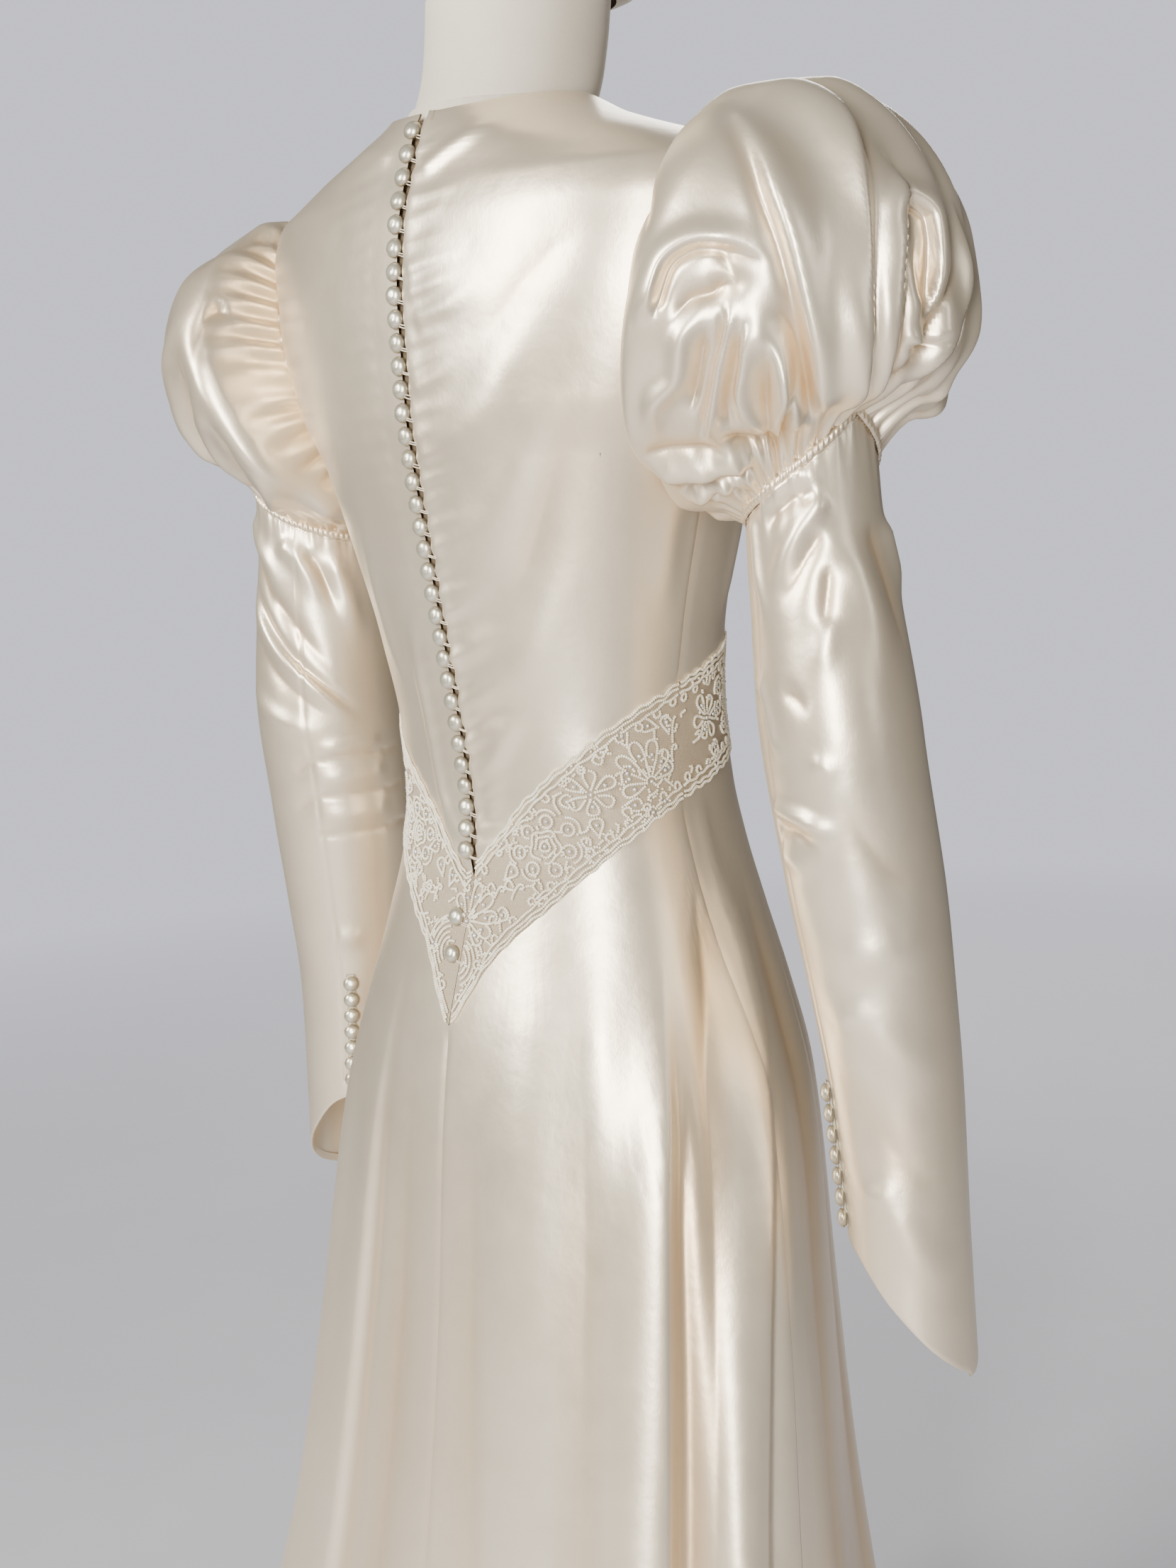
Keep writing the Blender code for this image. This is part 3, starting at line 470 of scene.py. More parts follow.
def bodice_panel(name, first, last, wide, folds, edge=BUTTON_EDGE):
    angle, height = panel_grid(
        first, last, wide, 170, lambda a: band_top(a) + CLOTH_GAP / 2, neck_height, edge
    )
    smooth = body_surface(angle, height)
    shaped = folded(smooth, body_surface, folds)
    depth = painted_fold_shade(shaped, smooth, 220)
    if edge == RIGHT_EDGE:
        lip = 0.0011 * np.exp(-(((angle - angle[:, -1:]) / 2.2) ** 2)) * ramp(height, 0.94, 0.97)
        shaped = shaped + facing(smooth) * lip[..., None]
        flipped = shaped.transpose(1, 0, 2)
        shaped = turned_in(flipped, 0.004, 0.0008, False, True, -1).transpose(1, 0, 2)
        depth = np.pad(depth, ((0, 0), (0, 6)), mode="edge")
    depth = np.pad(depth, ((0, 6), (0, 0)), mode="edge")
    piece = cloth(name, turned_in(shaped, foot=False), satin, depth=depth)
    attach(piece, "root")
    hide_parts(name.replace("satin_", ""))
    return piece


SIDE_SEAM_LINES = [
    (((side, 1.200), (side, 1.130), (side, 1.050)), 0.0015, -0.0009, 1.0, 0, (0, 0)) for side in (-90, 90)
]
LEFT_BACK_FOLDS += SIDE_SEAM_LINES
RIGHT_BACK_FOLDS += SIDE_SEAM_LINES
FRONT_FOLDS += SIDE_SEAM_LINES
bodice_panel("satin_bodice_back_left", 0, 90, 84, LEFT_BACK_FOLDS, LEFT_EDGE)
bodice_panel("satin_bodice_back_right", -90, 0, 110, RIGHT_BACK_FOLDS, RIGHT_EDGE)
bodice_panel("satin_bodice_front", 90, 270, 110, FRONT_FOLDS)

# Skirt: bias cut satin, two backs and a wide front, sewn to the band's foot and hanging in deep
# soft folds that open towards the hem. The hem is narrow and turned in.

HEM_HEIGHT = 0.012
# angle from the centre back, half width in degrees, how far it stands out at the hem, its top
BROAD_FOLDS = (
    (-170, 12, 0.022, 0.80),
    (-149, 10, -0.020, 0.72),
    (-131, 10, 0.024, 0.84),
    (-114, 9, -0.020, 0.74),
    (-99, 9, 0.026, 0.88),
    (-83, 8, -0.020, 0.76),
    (-69, 8, 0.026, 0.86),
    (-55, 7, -0.022, 0.77),
    (-40, 11, 0.022, 0.82),
    (-20, 12, -0.014, 0.72),
    (2, 12, 0.016, 0.70),
    (22, 10, -0.016, 0.72),
    (41, 10, 0.024, 0.80),
    (58, 8, -0.022, 0.75),
    (72, 8, 0.024, 0.86),
    (86, 8, -0.018, 0.76),
    (101, 9, 0.024, 0.86),
    (116, 9, -0.020, 0.74),
    (134, 10, 0.022, 0.82),
    (152, 10, -0.018, 0.72),
)
# Spots (angle, height), width, height, share of the width at the end, lap, how the ends die
SKIRT_FOLDS = [
    (
        ((-66, 0.900), (-57, 0.790), (-53, 0.720), (-51.5, 0.640), (-50, 0.513), (-47, 0.250), (-45, 0.0)),
        0.016, 0.0085, 2.1, -0.0050, (0.35, 0)
    ),
    (
        ((-98, 0.860), (-86, 0.765), (-79, 0.663), (-75, 0.560), (-71, 0.400), (-67, 0.200), (-65, 0.0)),
        0.015, 0.0080, 2.2, -0.0050, (0.35, 0)
    ),
    (
        ((-101, 0.950), (-97, 0.886), (-91, 0.800), (-87, 0.650), (-84, 0.400), (-82, 0.0)), 0.011,
        0.0050, 2.6, 0, (0.25, 0)
    ),
    (
        ((-88, 0.940), (-82, 0.880), (-70, 0.790), (-66, 0.650), (-62, 0.400), (-58, 0.0)), 0.010,
        -0.0050, 2.6, 0, (0.25, 0)
    ),
    (
        ((-112, 0.940), (-108, 0.850), (-104, 0.700), (-101, 0.400), (-99, 0.0)), 0.012, -0.0050, 2.4,
        0, (0.3, 0)
    ),
    (
        ((-26, 0.905), (-22, 0.821), (-19, 0.685), (-18, 0.499), (-17, 0.250), (-17, 0.0)), 0.020,
        0.0035, 1.8, 0, (0.4, 0)
    ),
    (((-38, 0.880), (-36, 0.760), (-34, 0.600), (-33, 0.300), (-32, 0.0)), 0.020, -0.0030, 1.8, 0, (0.4, 0)),
    (((-9, 0.800), (-8, 0.650), (-9, 0.400), (-9, 0.0)), 0.015, -0.0035, 2.0, 0, (0.4, 0)),
    (((-45, 0.900), (-40, 0.800), (-37, 0.700)), 0.014, 0.0018, 1.3, 0, (0.4, 0.6)),
    (((10, 0.830), (11, 0.650), (12, 0.400), (12, 0.0)), 0.015, -0.0040, 2.0, 0, (0.4, 0)),
    (((22, 0.880), (25, 0.740), (28, 0.560), (29, 0.300), (30, 0.0)), 0.016, 0.0045, 2.2, -0.0035, (0.4, 0)),
    (((47, 0.900), (49, 0.760), (49, 0.560), (49, 0.300), (49, 0.0)), 0.014, 0.0070, 2.2, 0.0045, (0.4, 0)),
    (((66, 0.920), (64, 0.780), (62, 0.560), (61, 0.300), (60, 0.0)), 0.013, -0.0060, 2.2, 0, (0.4, 0)),
    (((84, 0.940), (79, 0.800), (77, 0.560), (77, 0.300), (78, 0.0)), 0.014, 0.0070, 2.2, 0.0040, (0.4, 0)),
    (((97, 0.950), (95, 0.800), (94, 0.560), (94, 0.300), (93, 0.0)), 0.012, -0.0060, 2.3, 0, (0.4, 0)),
    (
        ((112, 0.950), (109, 0.800), (108, 0.560), (108, 0.300), (109, 0.0)), 0.014, 0.0065, 2.3,
        -0.0045, (0.4, 0)
    ),
    (((128, 0.960), (126, 0.800), (125, 0.560), (125, 0.300), (126, 0.0)), 0.013, -0.0050, 2.3, 0, (0.4, 0)),
    (
        ((144, 0.970), (142, 0.800), (142, 0.560), (143, 0.300), (143, 0.0)), 0.015, 0.0050, 2.2,
        0.0035, (0.4, 0)
    ),
    (((162, 0.980), (161, 0.800), (162, 0.560), (163, 0.300), (164, 0.0)), 0.017, -0.0040, 2.0, 0, (0.4, 0)),
    (((181, 0.985), (179, 0.800), (177, 0.560), (178, 0.300), (179, 0.0)), 0.019, 0.0040, 2.0, 0, (0.45, 0)),
    (((199, 0.980), (200, 0.800), (201, 0.560), (199, 0.300), (198, 0.0)), 0.017, -0.0045, 2.0, 0, (0.4, 0)),
    (
        ((216, 0.970), (218, 0.800), (219, 0.560), (218, 0.300), (217, 0.0)), 0.015, 0.0055, 2.2,
        -0.0040, (0.4, 0)
    ),
    (((233, 0.960), (235, 0.800), (236, 0.560), (236, 0.300), (235, 0.0)), 0.013, -0.0055, 2.3, 0, (0.4, 0)),
    (((-97, 0.990), (-96, 0.930), (-92, 0.870)), 0.008, 0.0020, 1.2, 0, (0.3, 0.6)),
]
BACK_SEAM = (((0, 0.836), (0, 0.600), (0, 0.300), (0, 0.0)), 0.0018, -0.0008, 1.0, 0, (0, 0))
SIDE_SEAMS = [
    (
        ((side, 1.030), (side, 0.800), (side, 0.500), (side, 0.250), (side, 0.0)), 0.0016, -0.0005, 1.0,
        0, (0, 0)
    )
    for side in (-90, 90)
]


def skirt_surface(angle, height):
    """The skirt with its broad folds, before the creases."""
    out = np.zeros(np.broadcast(angle, height).shape)
    for at, half, depth, start in BROAD_FOLDS:
        away = (angle - at + 180) % 360 - 180
        grown = ramp(start - height, 0.0, start + 0.25)
        out = out + depth * grown * np.exp(-((away / half) ** 2))
    return body_surface(angle, height, out)


def skirt_panel(name, first, last, wide, folds):
    angle, height = panel_grid(
        first, last, wide, 200, lambda a: np.full(
            np.shape(a), HEM_HEIGHT
        ), lambda at: band_foot(off_back(at)) - CLOTH_GAP / 2
    )
    smooth = skirt_surface(angle, height)
    shaped = folded(smooth, skirt_surface, folds)
    settle = ramp(height, band_foot(off_back(angle)) - 0.012, band_foot(off_back(angle)))[..., None]
    shaped = shaped + (smooth - shaped) * settle
    depth = painted_fold_shade(shaped, smooth, 150)
    depth = np.pad(depth, ((6, 0), (0, 0)), mode="edge")
    piece = cloth(name, turned_in(shaped, top=False), satin, depth=depth)
    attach(piece, "root")
    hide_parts(name.replace("satin_", ""))
    return piece


back_folds = [*SKIRT_FOLDS, *SIDE_SEAMS, BACK_SEAM]
skirt_panel("satin_skirt_back_left", 0, 90, 140, back_folds)
skirt_panel("satin_skirt_back_right", -90, 0, 170, back_folds)
skirt_panel("satin_skirt_front", 90, 270, 200, [*SKIRT_FOLDS, *SIDE_SEAMS])

# Net band: a V of fine cream net over a tan backing, its edges and flowers sewn with small glass
# seed beads on thread. It joins the bodice to the skirt and takes two of the buttons.

band_net, nodes, links, shader = new_material("beaded_net")
place = nodes.new("ShaderNodeTexCoord")
cells = nodes.new("ShaderNodeTexVoronoi")
cells.feature = "DISTANCE_TO_EDGE"
cells.inputs["Scale"].default_value = 1100.0
links.new(place.outputs["Object"], cells.inputs["Vector"])
threads = colour_ramp(nodes, links, cells.outputs["Distance"], ((0.0, (1, 1, 1)), (0.16, (0, 0, 0))))
backing = colour_ramp(
    nodes, links, noise(nodes, links, 30.0, 3.0),
    ((0.3, (0.33, 0.245, 0.15)), (0.7, (0.43, 0.34, 0.225)))
)
links.new(mixed(nodes, links, threads, backing, (0.54, 0.455, 0.325, 1.0)), shader.inputs["Base Color"])
links.new(bumped(nodes, links, threads, 0.5, 0.0004), shader.inputs["Normal"])
shader.inputs["Roughness"].default_value = 0.62
shader.inputs["Sheen Weight"].default_value = 0.15

bead_glass, nodes, links, shader = new_material("seed_beads")
links.new(
    colour_ramp(
        nodes, links, noise(nodes, links, 260.0, 1.0),
        ((0.35, (0.80, 0.71, 0.53)), (0.65, (0.94, 0.88, 0.73)))
    ),
    shader.inputs["Base Color"],
)
shader.inputs["Roughness"].default_value = 0.22
shader.inputs["Specular IOR Level"].default_value = 0.7

stone_glass, nodes, links, shader = new_material("clear_stones")
links.new(
    colour_ramp(
        nodes, links, noise(nodes, links, 300.0, 1.0),
        ((0.4, (0.62, 0.62, 0.60)), (0.6, (0.86, 0.86, 0.84)))
    ),
    shader.inputs["Base Color"],
)
shader.inputs["Metallic"].default_value = 0.55
shader.inputs["Roughness"].default_value = 0.08

BAND_BUTTON_HEIGHTS, BAND_BUTTON_ANGLE = (0.9069, 0.8829), 1.6
BEAD_RADIUS, BEAD_PITCH, BEAD_ROOM = 0.00122, 0.00152, 0.00134
STONE_RADIUS = 0.00145
BAND_LIFT = 0.0009  # from the net to the middle of a bead


def arc_table():
    """Distance round the body along the band's middle line, by degrees from the centre back."""
    angle = np.linspace(-100, 280, 1521)
    height = (band_top(off_back(angle)) + band_foot(off_back(angle))) / 2
    flat = body_surface(angle, height)[:, :2]
    round_it = np.concatenate([[0], np.cumsum(np.linalg.norm(np.diff(flat, axis=0), axis=1))])
    return angle, round_it - np.interp(0, angle, round_it)


arc_angle, arc_length = arc_table()


def band_middle(along):
    angle = off_back(np.interp(along, arc_length, arc_angle))
    return (band_top(angle) + band_foot(angle)) / 2


def petal(length, half, start=0.0):
    """A long loop that leaves its foot and comes back to it."""
    t = np.linspace(0, 1, 40)
    return np.stack([start + length * np.sin(np.pi * t) ** 0.8, half * np.sin(2 * np.pi * t)], axis=1)


def turn(line, degrees, move=(0, 0)):
    c, s = math.cos(math.radians(degrees)), math.sin(math.radians(degrees))
    return line @ np.array([[c, s], [-s, c]]) + np.array(move)


def ring_line(radius, waves, depth, start=0, end=360):
    t = np.radians(np.linspace(start, end, 90))
    r = radius * (1 + depth * np.cos(waves * t))
    return np.stack([r * np.cos(t), r * np.sin(t)], axis=1)


def hook(length, curl, bend):
    """A stem that ends in a curl."""
    t = np.linspace(0, 1, 50)
    heading = bend * t + curl * np.maximum(0, t - 0.45) ** 1.6
    step = length / 50
    return np.cumsum(np.stack([np.cos(heading), np.sin(heading)], axis=1) * step, axis=0)


def ringed(radius, spot):
    """A loop of beads round a stone."""
    return ring_line(radius, 1, 0.0) + np.array(spot)


def rose():
    lines = [
        ring_line(0.0033, 3, 0.10), ring_line(0.0066, 5, 0.09, 15, 330),
        ring_line(0.0100, 5, 0.10, -40, 300)
    ]
    stones = [(0, 0)]
    for n, reach in enumerate((0.0190, 0.0170, 0.0182, 0.0194, 0.0172, 0.0186, 0.0176)):
        a = 2 * math.pi * n / 7 + 0.3
        spot = (reach * math.cos(a), 0.86 * reach * math.sin(a))
        lines.append(ringed(0.0042, spot))
        lines.append(ring_line(0.0078, 1, 0.0, math.degrees(a) - 58, math.degrees(a) + 58) + np.array(spot))
        stones.append(spot)
    return lines, stones


def fan_flower():
    lines, stones = [], [(0, 0)]
    for n, degrees in enumerate((-82, -52, -24, 4, 32, 60, 86)):
        length = (0.018, 0.0215, 0.025, 0.0265, 0.025, 0.021, 0.0175)[n]
        lines.append(turn(petal(length, 0.0040, 0.002), degrees))
        reach = 0.70 * length
        stones.append((reach * math.cos(math.radians(degrees)), reach * math.sin(math.radians(degrees))))
    return lines, stones


def star_flower():
    lines, stones = [], [(0, 0)]
    for n, degrees in enumerate((0, 62, 118, 176, 238, 300)):
        length = (0.017, 0.014, 0.0165, 0.013, 0.012, 0.014)[n]
        lines.append(turn(petal(length, 0.0038, 0.0018), degrees))
        if n % 2 == 0:
            reach = 0.66 * length
            stones.append((reach * math.cos(math.radians(degrees)), reach * math.sin(math.radians(degrees))))
    return lines, stones


def shell():
    """Curved rows of beads, one inside another."""
    return [
        ring_line(r, 1, 0.0, -64 - 300 * r, 60 + 200 * r) for r in (0.0085, 0.0120, 0.0156, 0.0192, 0.0228)
    ], []


def spray():
    lines = [hook(0.026, 8, 0.4), turn(petal(0.0095, 0.0030), 62, (0.007, 0.002))]
    lines += [
        turn(petal(0.0090, 0.0028), -58, (0.011, 0.002)), turn(hook(0.010, 14, 0.2), 50, (0.016, 0.004))
    ]
    return lines, [(0.0108, 0.0085)]


def tendril():
    return [hook(0.021, 16, 0.9), turn(petal(0.0085, 0.0028), -70, (0.006, 0.001))], []


def leaf():
    return [petal(0.0125, 0.0042)], [(0.0080, 0.0)]


# Where each motif sits: distance round from the centre back, share of the way up the band, turn
MOTIFS = (
    ("rose", -0.0670, 0.49, 12), ("star", -0.0995, 0.60, 66), ("fan", -0.1387, 0.33, 92),
    ("fan", -0.0060, 0.64, 186),
    ("shell", -0.0010, 0.42, 200), ("leaf", -0.1195, 0.48, 150), ("leaf", -0.1460, 0.20, -70),
    ("leaf", -0.1300, 0.16, -130),
    ("tendril", -0.1030, 0.86, 150), ("tendril", -0.1150, 0.80, 40), ("tendril", -0.0870, 0.84, 160),
    ("spray", -0.1580, 0.84, 160),
    ("spray", -0.1580, 0.52, 110), ("spray", -0.1560, 0.14, 60), ("tendril", -0.0440, 0.80, 150),
    ("leaf", -0.0300, 0.88, 170),
    ("tendril", -0.0430, 0.32, 150), ("leaf", -0.0300, 0.30, 190), ("tendril", -0.0360, 0.14, 120),
    ("spray", -0.0560, 0.10, 165),
    ("spray", -0.0860, 0.16, 172), ("leaf", -0.1020, 0.20, 120), ("spray", -0.1150, 0.10, 160),
    ("leaf", -0.0090, 0.18, 240),
    ("leaf", -0.0200, 0.12, 200), ("leaf", -0.0890, 0.56, 90), ("leaf", -0.0160, 0.90, 130),
    ("leaf", -0.1470, 0.74, 40), ("leaf", -0.1550, 0.62, 100), ("tendril", -0.1570, 0.34, 100),
    ("leaf", -0.1250, 0.76, 100), ("leaf", -0.1180, 0.30, 210), ("tendril", -0.0480, 0.58, 150),
    ("leaf", -0.0370, 0.56, 180), ("tendril", -0.0290, 0.48, 150), ("leaf", 0.0470, 0.60, 120),
    ("leaf", 0.1180, 0.56, 140), ("leaf", 0.1500, 0.68, 80), ("tendril", 0.0480, 0.34, 200),
    ("rose", 0.0640, 0.52, 170), ("star", 0.0960, 0.46, 110), ("fan", 0.1350, 0.36, 88),
    ("shell", 0.0075, 0.40, -30),
    ("leaf", 0.0180, 0.72, 60), ("leaf", 0.0270, 0.66, 20), ("tendril", 0.0320, 0.36, 40),
    ("leaf", 0.0300, 0.86, 60),
    ("tendril", 0.0400, 0.88, 20), ("spray", 0.0560, 0.12, 10), ("tendril", 0.0430, 0.20, 60),
    ("spray", 0.0840, 0.14, 14),
    ("tendril", 0.0860, 0.86, 30), ("leaf", 0.1080, 0.70, 40), ("spray", 0.1080, 0.88, -10),
    ("leaf", 0.1130, 0.18, -40),
    ("spray", 0.1500, 0.84, 20), ("spray", 0.1500, 0.52, 70), ("spray", 0.1460, 0.14, 30),
    ("leaf", 0.0110, 0.16, -60),
    ("leaf", 0.0220, 0.10, 10),
)
FRONT_MOTIFS = (
    ("rose", 0.000, 0.50, 0), ("star", 0.042, 0.54, 20), ("star", -0.044, 0.48, 150),
    ("spray", 0.022, 0.86, 0),
    ("spray", -0.024, 0.86, 180), ("spray", 0.022, 0.12, 0), ("spray", -0.026, 0.13, 180),
    ("fan", 0.078, 0.34, 88),
    ("fan", -0.080, 0.34, 94), ("tendril", 0.060, 0.84, 30), ("tendril", -0.062, 0.84, 150),
    ("leaf", 0.060, 0.18, -30),
    ("leaf", -0.060, 0.18, 210), ("rose", 0.118, 0.50, 30), ("rose", -0.120, 0.52, 20),
    ("spray", 0.104, 0.88, 10),
    ("spray", -0.106, 0.88, 170), ("spray", 0.096, 0.12, 4), ("spray", -0.098, 0.13, 176),
    ("star", 0.156, 0.52, 70),
    ("star", -0.158, 0.50, 110), ("spray", 0.140, 0.86, 10), ("spray", -0.142, 0.86, 170),
    ("spray", 0.134, 0.12, 0),
    ("spray", -0.136, 0.13, 180), ("leaf", 0.168, 0.84, 80), ("leaf", -0.172, 0.16, 260),
)
DRAWN = {
    "rose": rose,
    "fan": fan_flower,
    "star": star_flower,
    "shell": shell,
    "spray": spray,
    "tendril": tendril,
    "leaf": leaf,
}


# The rows of beads along each edge of the band: inset from the edge, how far each wanders
EDGE_ROWS = ((-0.0004, 0.0016), (-0.0032, 0.0013), (-0.0060, -0.0010))
EDGE_RING, EDGE_RING_PITCH = 0.0024, 0.0127


def edge_lines(low, high):
    """The beaded edges: wandering rows side by side, with small rings inside them."""
    lines = []
    along = np.arange(low, high, 0.0004)
    angle = off_back(np.interp(along, arc_length, arc_angle))
    for side, edge in ((1, band_top(angle)), (-1, band_foot(angle))):
        bump = np.abs(np.sin(along * math.pi / 0.0290 + 0.7 * side)) ** 0.6
        bump = bump + 0.45 * np.sin(along * 2 * math.pi / 0.0113 + side)
        for inset, swing in EDGE_ROWS:
            lines.append(np.stack([along, edge + side * (inset + swing * bump)], axis=1))
        spots = np.arange(low + 0.004, high, EDGE_RING_PITCH)
        for n, centre in enumerate(spots):
            at = np.interp(centre, along, edge) - side * (0.0094 + 0.0007 * (n % 3))
            lines.append(ringed(EDGE_RING, (centre, at)))
    return lines


def charted(motifs, middle):
    """Bead lines and stones of the motifs, as distance round and height."""
    lines, stones = [], []
    for kind, along, climb, degrees in motifs:
        at = along + middle
        angle = off_back(np.interp(at, arc_length, arc_angle))
        height = band_foot(angle) + climb * (band_top(angle) - band_foot(angle))
        slope = math.degrees(math.atan2(band_middle(at + 0.005) - band_middle(at - 0.005), 0.01))
        drawn, dots = DRAWN[kind]()
        for line in drawn:
            lines.append(turn(line, degrees + slope, (at, height)))
        for dot in dots:
            stones.append(turn(np.array([dot]), degrees + slope, (at, height))[0])
    return lines, stones


def string_of_beads(lines, taken, first, last):
    """Places of beads sewn side by side along each line, skipping those with no room."""
    spots, headings = [], []
    buttons = [(body_surface(BAND_BUTTON_ANGLE, z)[0], z) for z in BAND_BUTTON_HEIGHTS]
    for line in lines:
        lengths = np.concatenate([[0], np.cumsum(np.linalg.norm(np.diff(line, axis=0), axis=1))])
        at = np.arange(0, lengths[-1], BEAD_PITCH)
        where = np.stack([np.interp(at, lengths, line[:, k]) for k in (0, 1)], axis=1)
        ahead = np.stack([np.interp(at + 0.0004, lengths, line[:, k]) for k in (0, 1)], axis=1)
        behind = np.stack([np.interp(at - 0.0004, lengths, line[:, k]) for k in (0, 1)], axis=1)
        for spot, heading in zip(where, ahead - behind):
            cell = (int(spot[0] // 0.002), int(spot[1] // 0.002))
            near = [
                p for i in (-1, 0, 1) for j in (-1, 0, 1) for p in taken.get((cell[0] + i, cell[1] + j), ())
            ]
            if any((p[0] - spot[0]) ** 2 + (p[1] - spot[1]) ** 2 < p[2] ** 2 for p in near):
                continue
            at = np.interp(spot[0], arc_length, arc_angle)
            if not band_foot(off_back(at)) - 0.0022 < spot[1] < band_top(off_back(at)) + 0.0022:
                continue
            low, high = (panel_angle(end, spot[1], last > 180) for end in (first, last))
            if not low + 0.55 < at < high - 0.55:
                continue
            x = body_surface(at, spot[1])[0]
            if last < 180 and any(math.hypot(x - b, spot[1] - z) < 0.0064 for b, z in buttons):
                continue
            taken.setdefault(cell, []).append((spot[0], spot[1], BEAD_ROOM))
            spots.append(spot)
            headings.append(math.atan2(heading[1], heading[0]))
    return np.array(spots), np.array(headings)


def bead_shape(sides=5):
    """A seed bead: short along its thread, with a rounded rim."""
    rings = []
    for along, share in ((-0.55, 0.0), (-0.50, 0.72), (0.0, 1.0), (0.50, 0.72), (0.55, 0.0)):
        for n in range(sides):
            a = 2 * math.pi * n / sides
            rings.append((along * 1.12, share * math.cos(a), 0.86 * share * math.sin(a)))
    points = np.array(rings)
    faces = []
    for ring in range(4):
        for n in range(sides):
            a, b = ring * sides + n, ring * sides + (n + 1) % sides
            if ring == 0:
                faces.append((a, b + sides, a + sides))
            elif ring == 3:
                faces.append((a, b, a + sides))
            else:
                faces.append((a, b, b + sides))
                faces.append((a, b + sides, a + sides))
    return points, np.array(faces)


def triangles(name, points, faces, material):
    mesh = bpy.data.meshes.new(name)
    mesh.vertices.add(len(points))
    mesh.vertices.foreach_set("co", points.reshape(-1).astype(np.float32))
    mesh.loops.add(faces.size)
    mesh.loops.foreach_set("vertex_index", faces.reshape(-1).astype(np.int32))
    mesh.polygons.add(len(faces))
    mesh.polygons.foreach_set("loop_start", (np.arange(len(faces)) * 3).astype(np.int32))
    mesh.polygons.foreach_set("use_smooth", np.ones(len(faces), bool))
    mesh.update(calc_edges=True)
    mesh.materials.append(material)
    piece = bpy.data.objects.new(name, mesh)
    bpy.context.scene.collection.objects.link(piece)
    return piece


def sewn_on(name, spots, headings, size, shape, material):
    """One mesh of beads, each set on the band at (distance round, height) with its thread's heading."""
    points, faces = shape
    angle = np.interp(spots[:, 0], arc_length, arc_angle)
    place = body_surface(angle, spots[:, 1])
    round_it = body_surface(angle + 0.3, spots[:, 1]) - place
    up = body_surface(angle, spots[:, 1] + 0.001) - place
    round_it /= np.linalg.norm(round_it, axis=1, keepdims=True)
    out = np.cross(up, round_it)
    out /= np.linalg.norm(out, axis=1, keepdims=True)
    up = np.cross(round_it, out)
    c, s = np.cos(headings)[:, None], np.sin(headings)[:, None]
    thread, across = round_it * c + up * s, up * c - round_it * s
    wobble = np.random.default_rng(3).normal(0, 0.08, (len(spots), 1))
    thread = thread + out * wobble
    local = size * points
    middle = place + out * (BAND_LIFT + wobble * 0.0006)
    world = (
        middle[:, None]
        + thread[:, None] * local[None, :, 0:1]
        + across[:, None] * local[None, :, 1:2]
        + out[:, None] * local[None, :, 2:3]
    )
    all_faces = faces[None] + (np.arange(len(spots)) * len(points))[:, None, None]
    piece = triangles(name, world.reshape(-1, 3), all_faces.reshape(-1, 3), material)
    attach(piece, "root")
    return piece


def round_shape(sides=10, rings=6):
    points, faces = [(0, 0, -1)], []
    for r in range(1, rings):
        t = math.pi * r / rings
        points += [
            (
                math.sin(t) * math.cos(2 * math.pi * n / sides),
                math.sin(t) * math.sin(2 * math.pi * n / sides), -math.cos(t)
            ) for n in range(sides)
        ]
    points.append((0, 0, 1))
    last = len(points) - 1
    for n in range(sides):
        d = (n + 1) % sides
        faces.append((0, 1 + d, 1 + n))
        faces.append((last, last - sides + n, last - sides + d))
        for r in range(rings - 2):
            a, b = 1 + r * sides + n, 1 + r * sides + d
            faces.append((a, b, b + sides))
            faces.append((a, b + sides, a + sides))
    return np.array(points, float), np.array(faces)


def net_panel(name, first, last, wide, motifs, middle):
    """A panel of the band with its beads and stones."""
    angle, height = panel_grid(
        first, last, wide, 40, lambda a: band_foot(a) + CLOTH_GAP / 2, lambda at: band_top(
            off_back(at)
        ) - CLOTH_GAP / 2
    )
    net = cloth(name, body_surface(angle, height), band_net)
    ends = np.interp([angle.min(), angle.max()], arc_angle, arc_length)
    taken = {}
    lines, stones = charted(motifs, middle)
    stones = [s for s in stones if ends[0] + 0.001 < s[0] < ends[1] - 0.001]
    kept = []
    for spot in stones:
        a = off_back(np.interp(spot[0], arc_length, arc_angle))
        if band_foot(a) + 0.004 < spot[1] < band_top(a) - 0.004:
            cell = (int(spot[0] // 0.002), int(spot[1] // 0.002))
            taken.setdefault(cell, []).append((spot[0], spot[1], 0.0021))
            kept.append(spot)
    drawn = edge_lines(ends[0] + 0.0008, ends[1] - 0.0008) + lines
    drawn = [line[(line[:, 0] > ends[0] + 0.0008) & (line[:, 0] < ends[1] - 0.0008)] for line in drawn]
    drawn += loose_sprigs(ends, name, 0.0060 if last > 180 else 0.0030)
    spots, headings = string_of_beads([line for line in drawn if len(line) > 3], taken, first, last)
    beads = sewn_on(f"beads_{name}", spots, headings, BEAD_RADIUS, bead_shape(), bead_glass)
    jewels = sewn_on(
        f"stones_{name}", np.array(kept), np.zeros(len(kept)), STONE_RADIUS, round_shape(), stone_glass
    )
    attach(net, "root")
    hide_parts(name.replace("net_", ""))


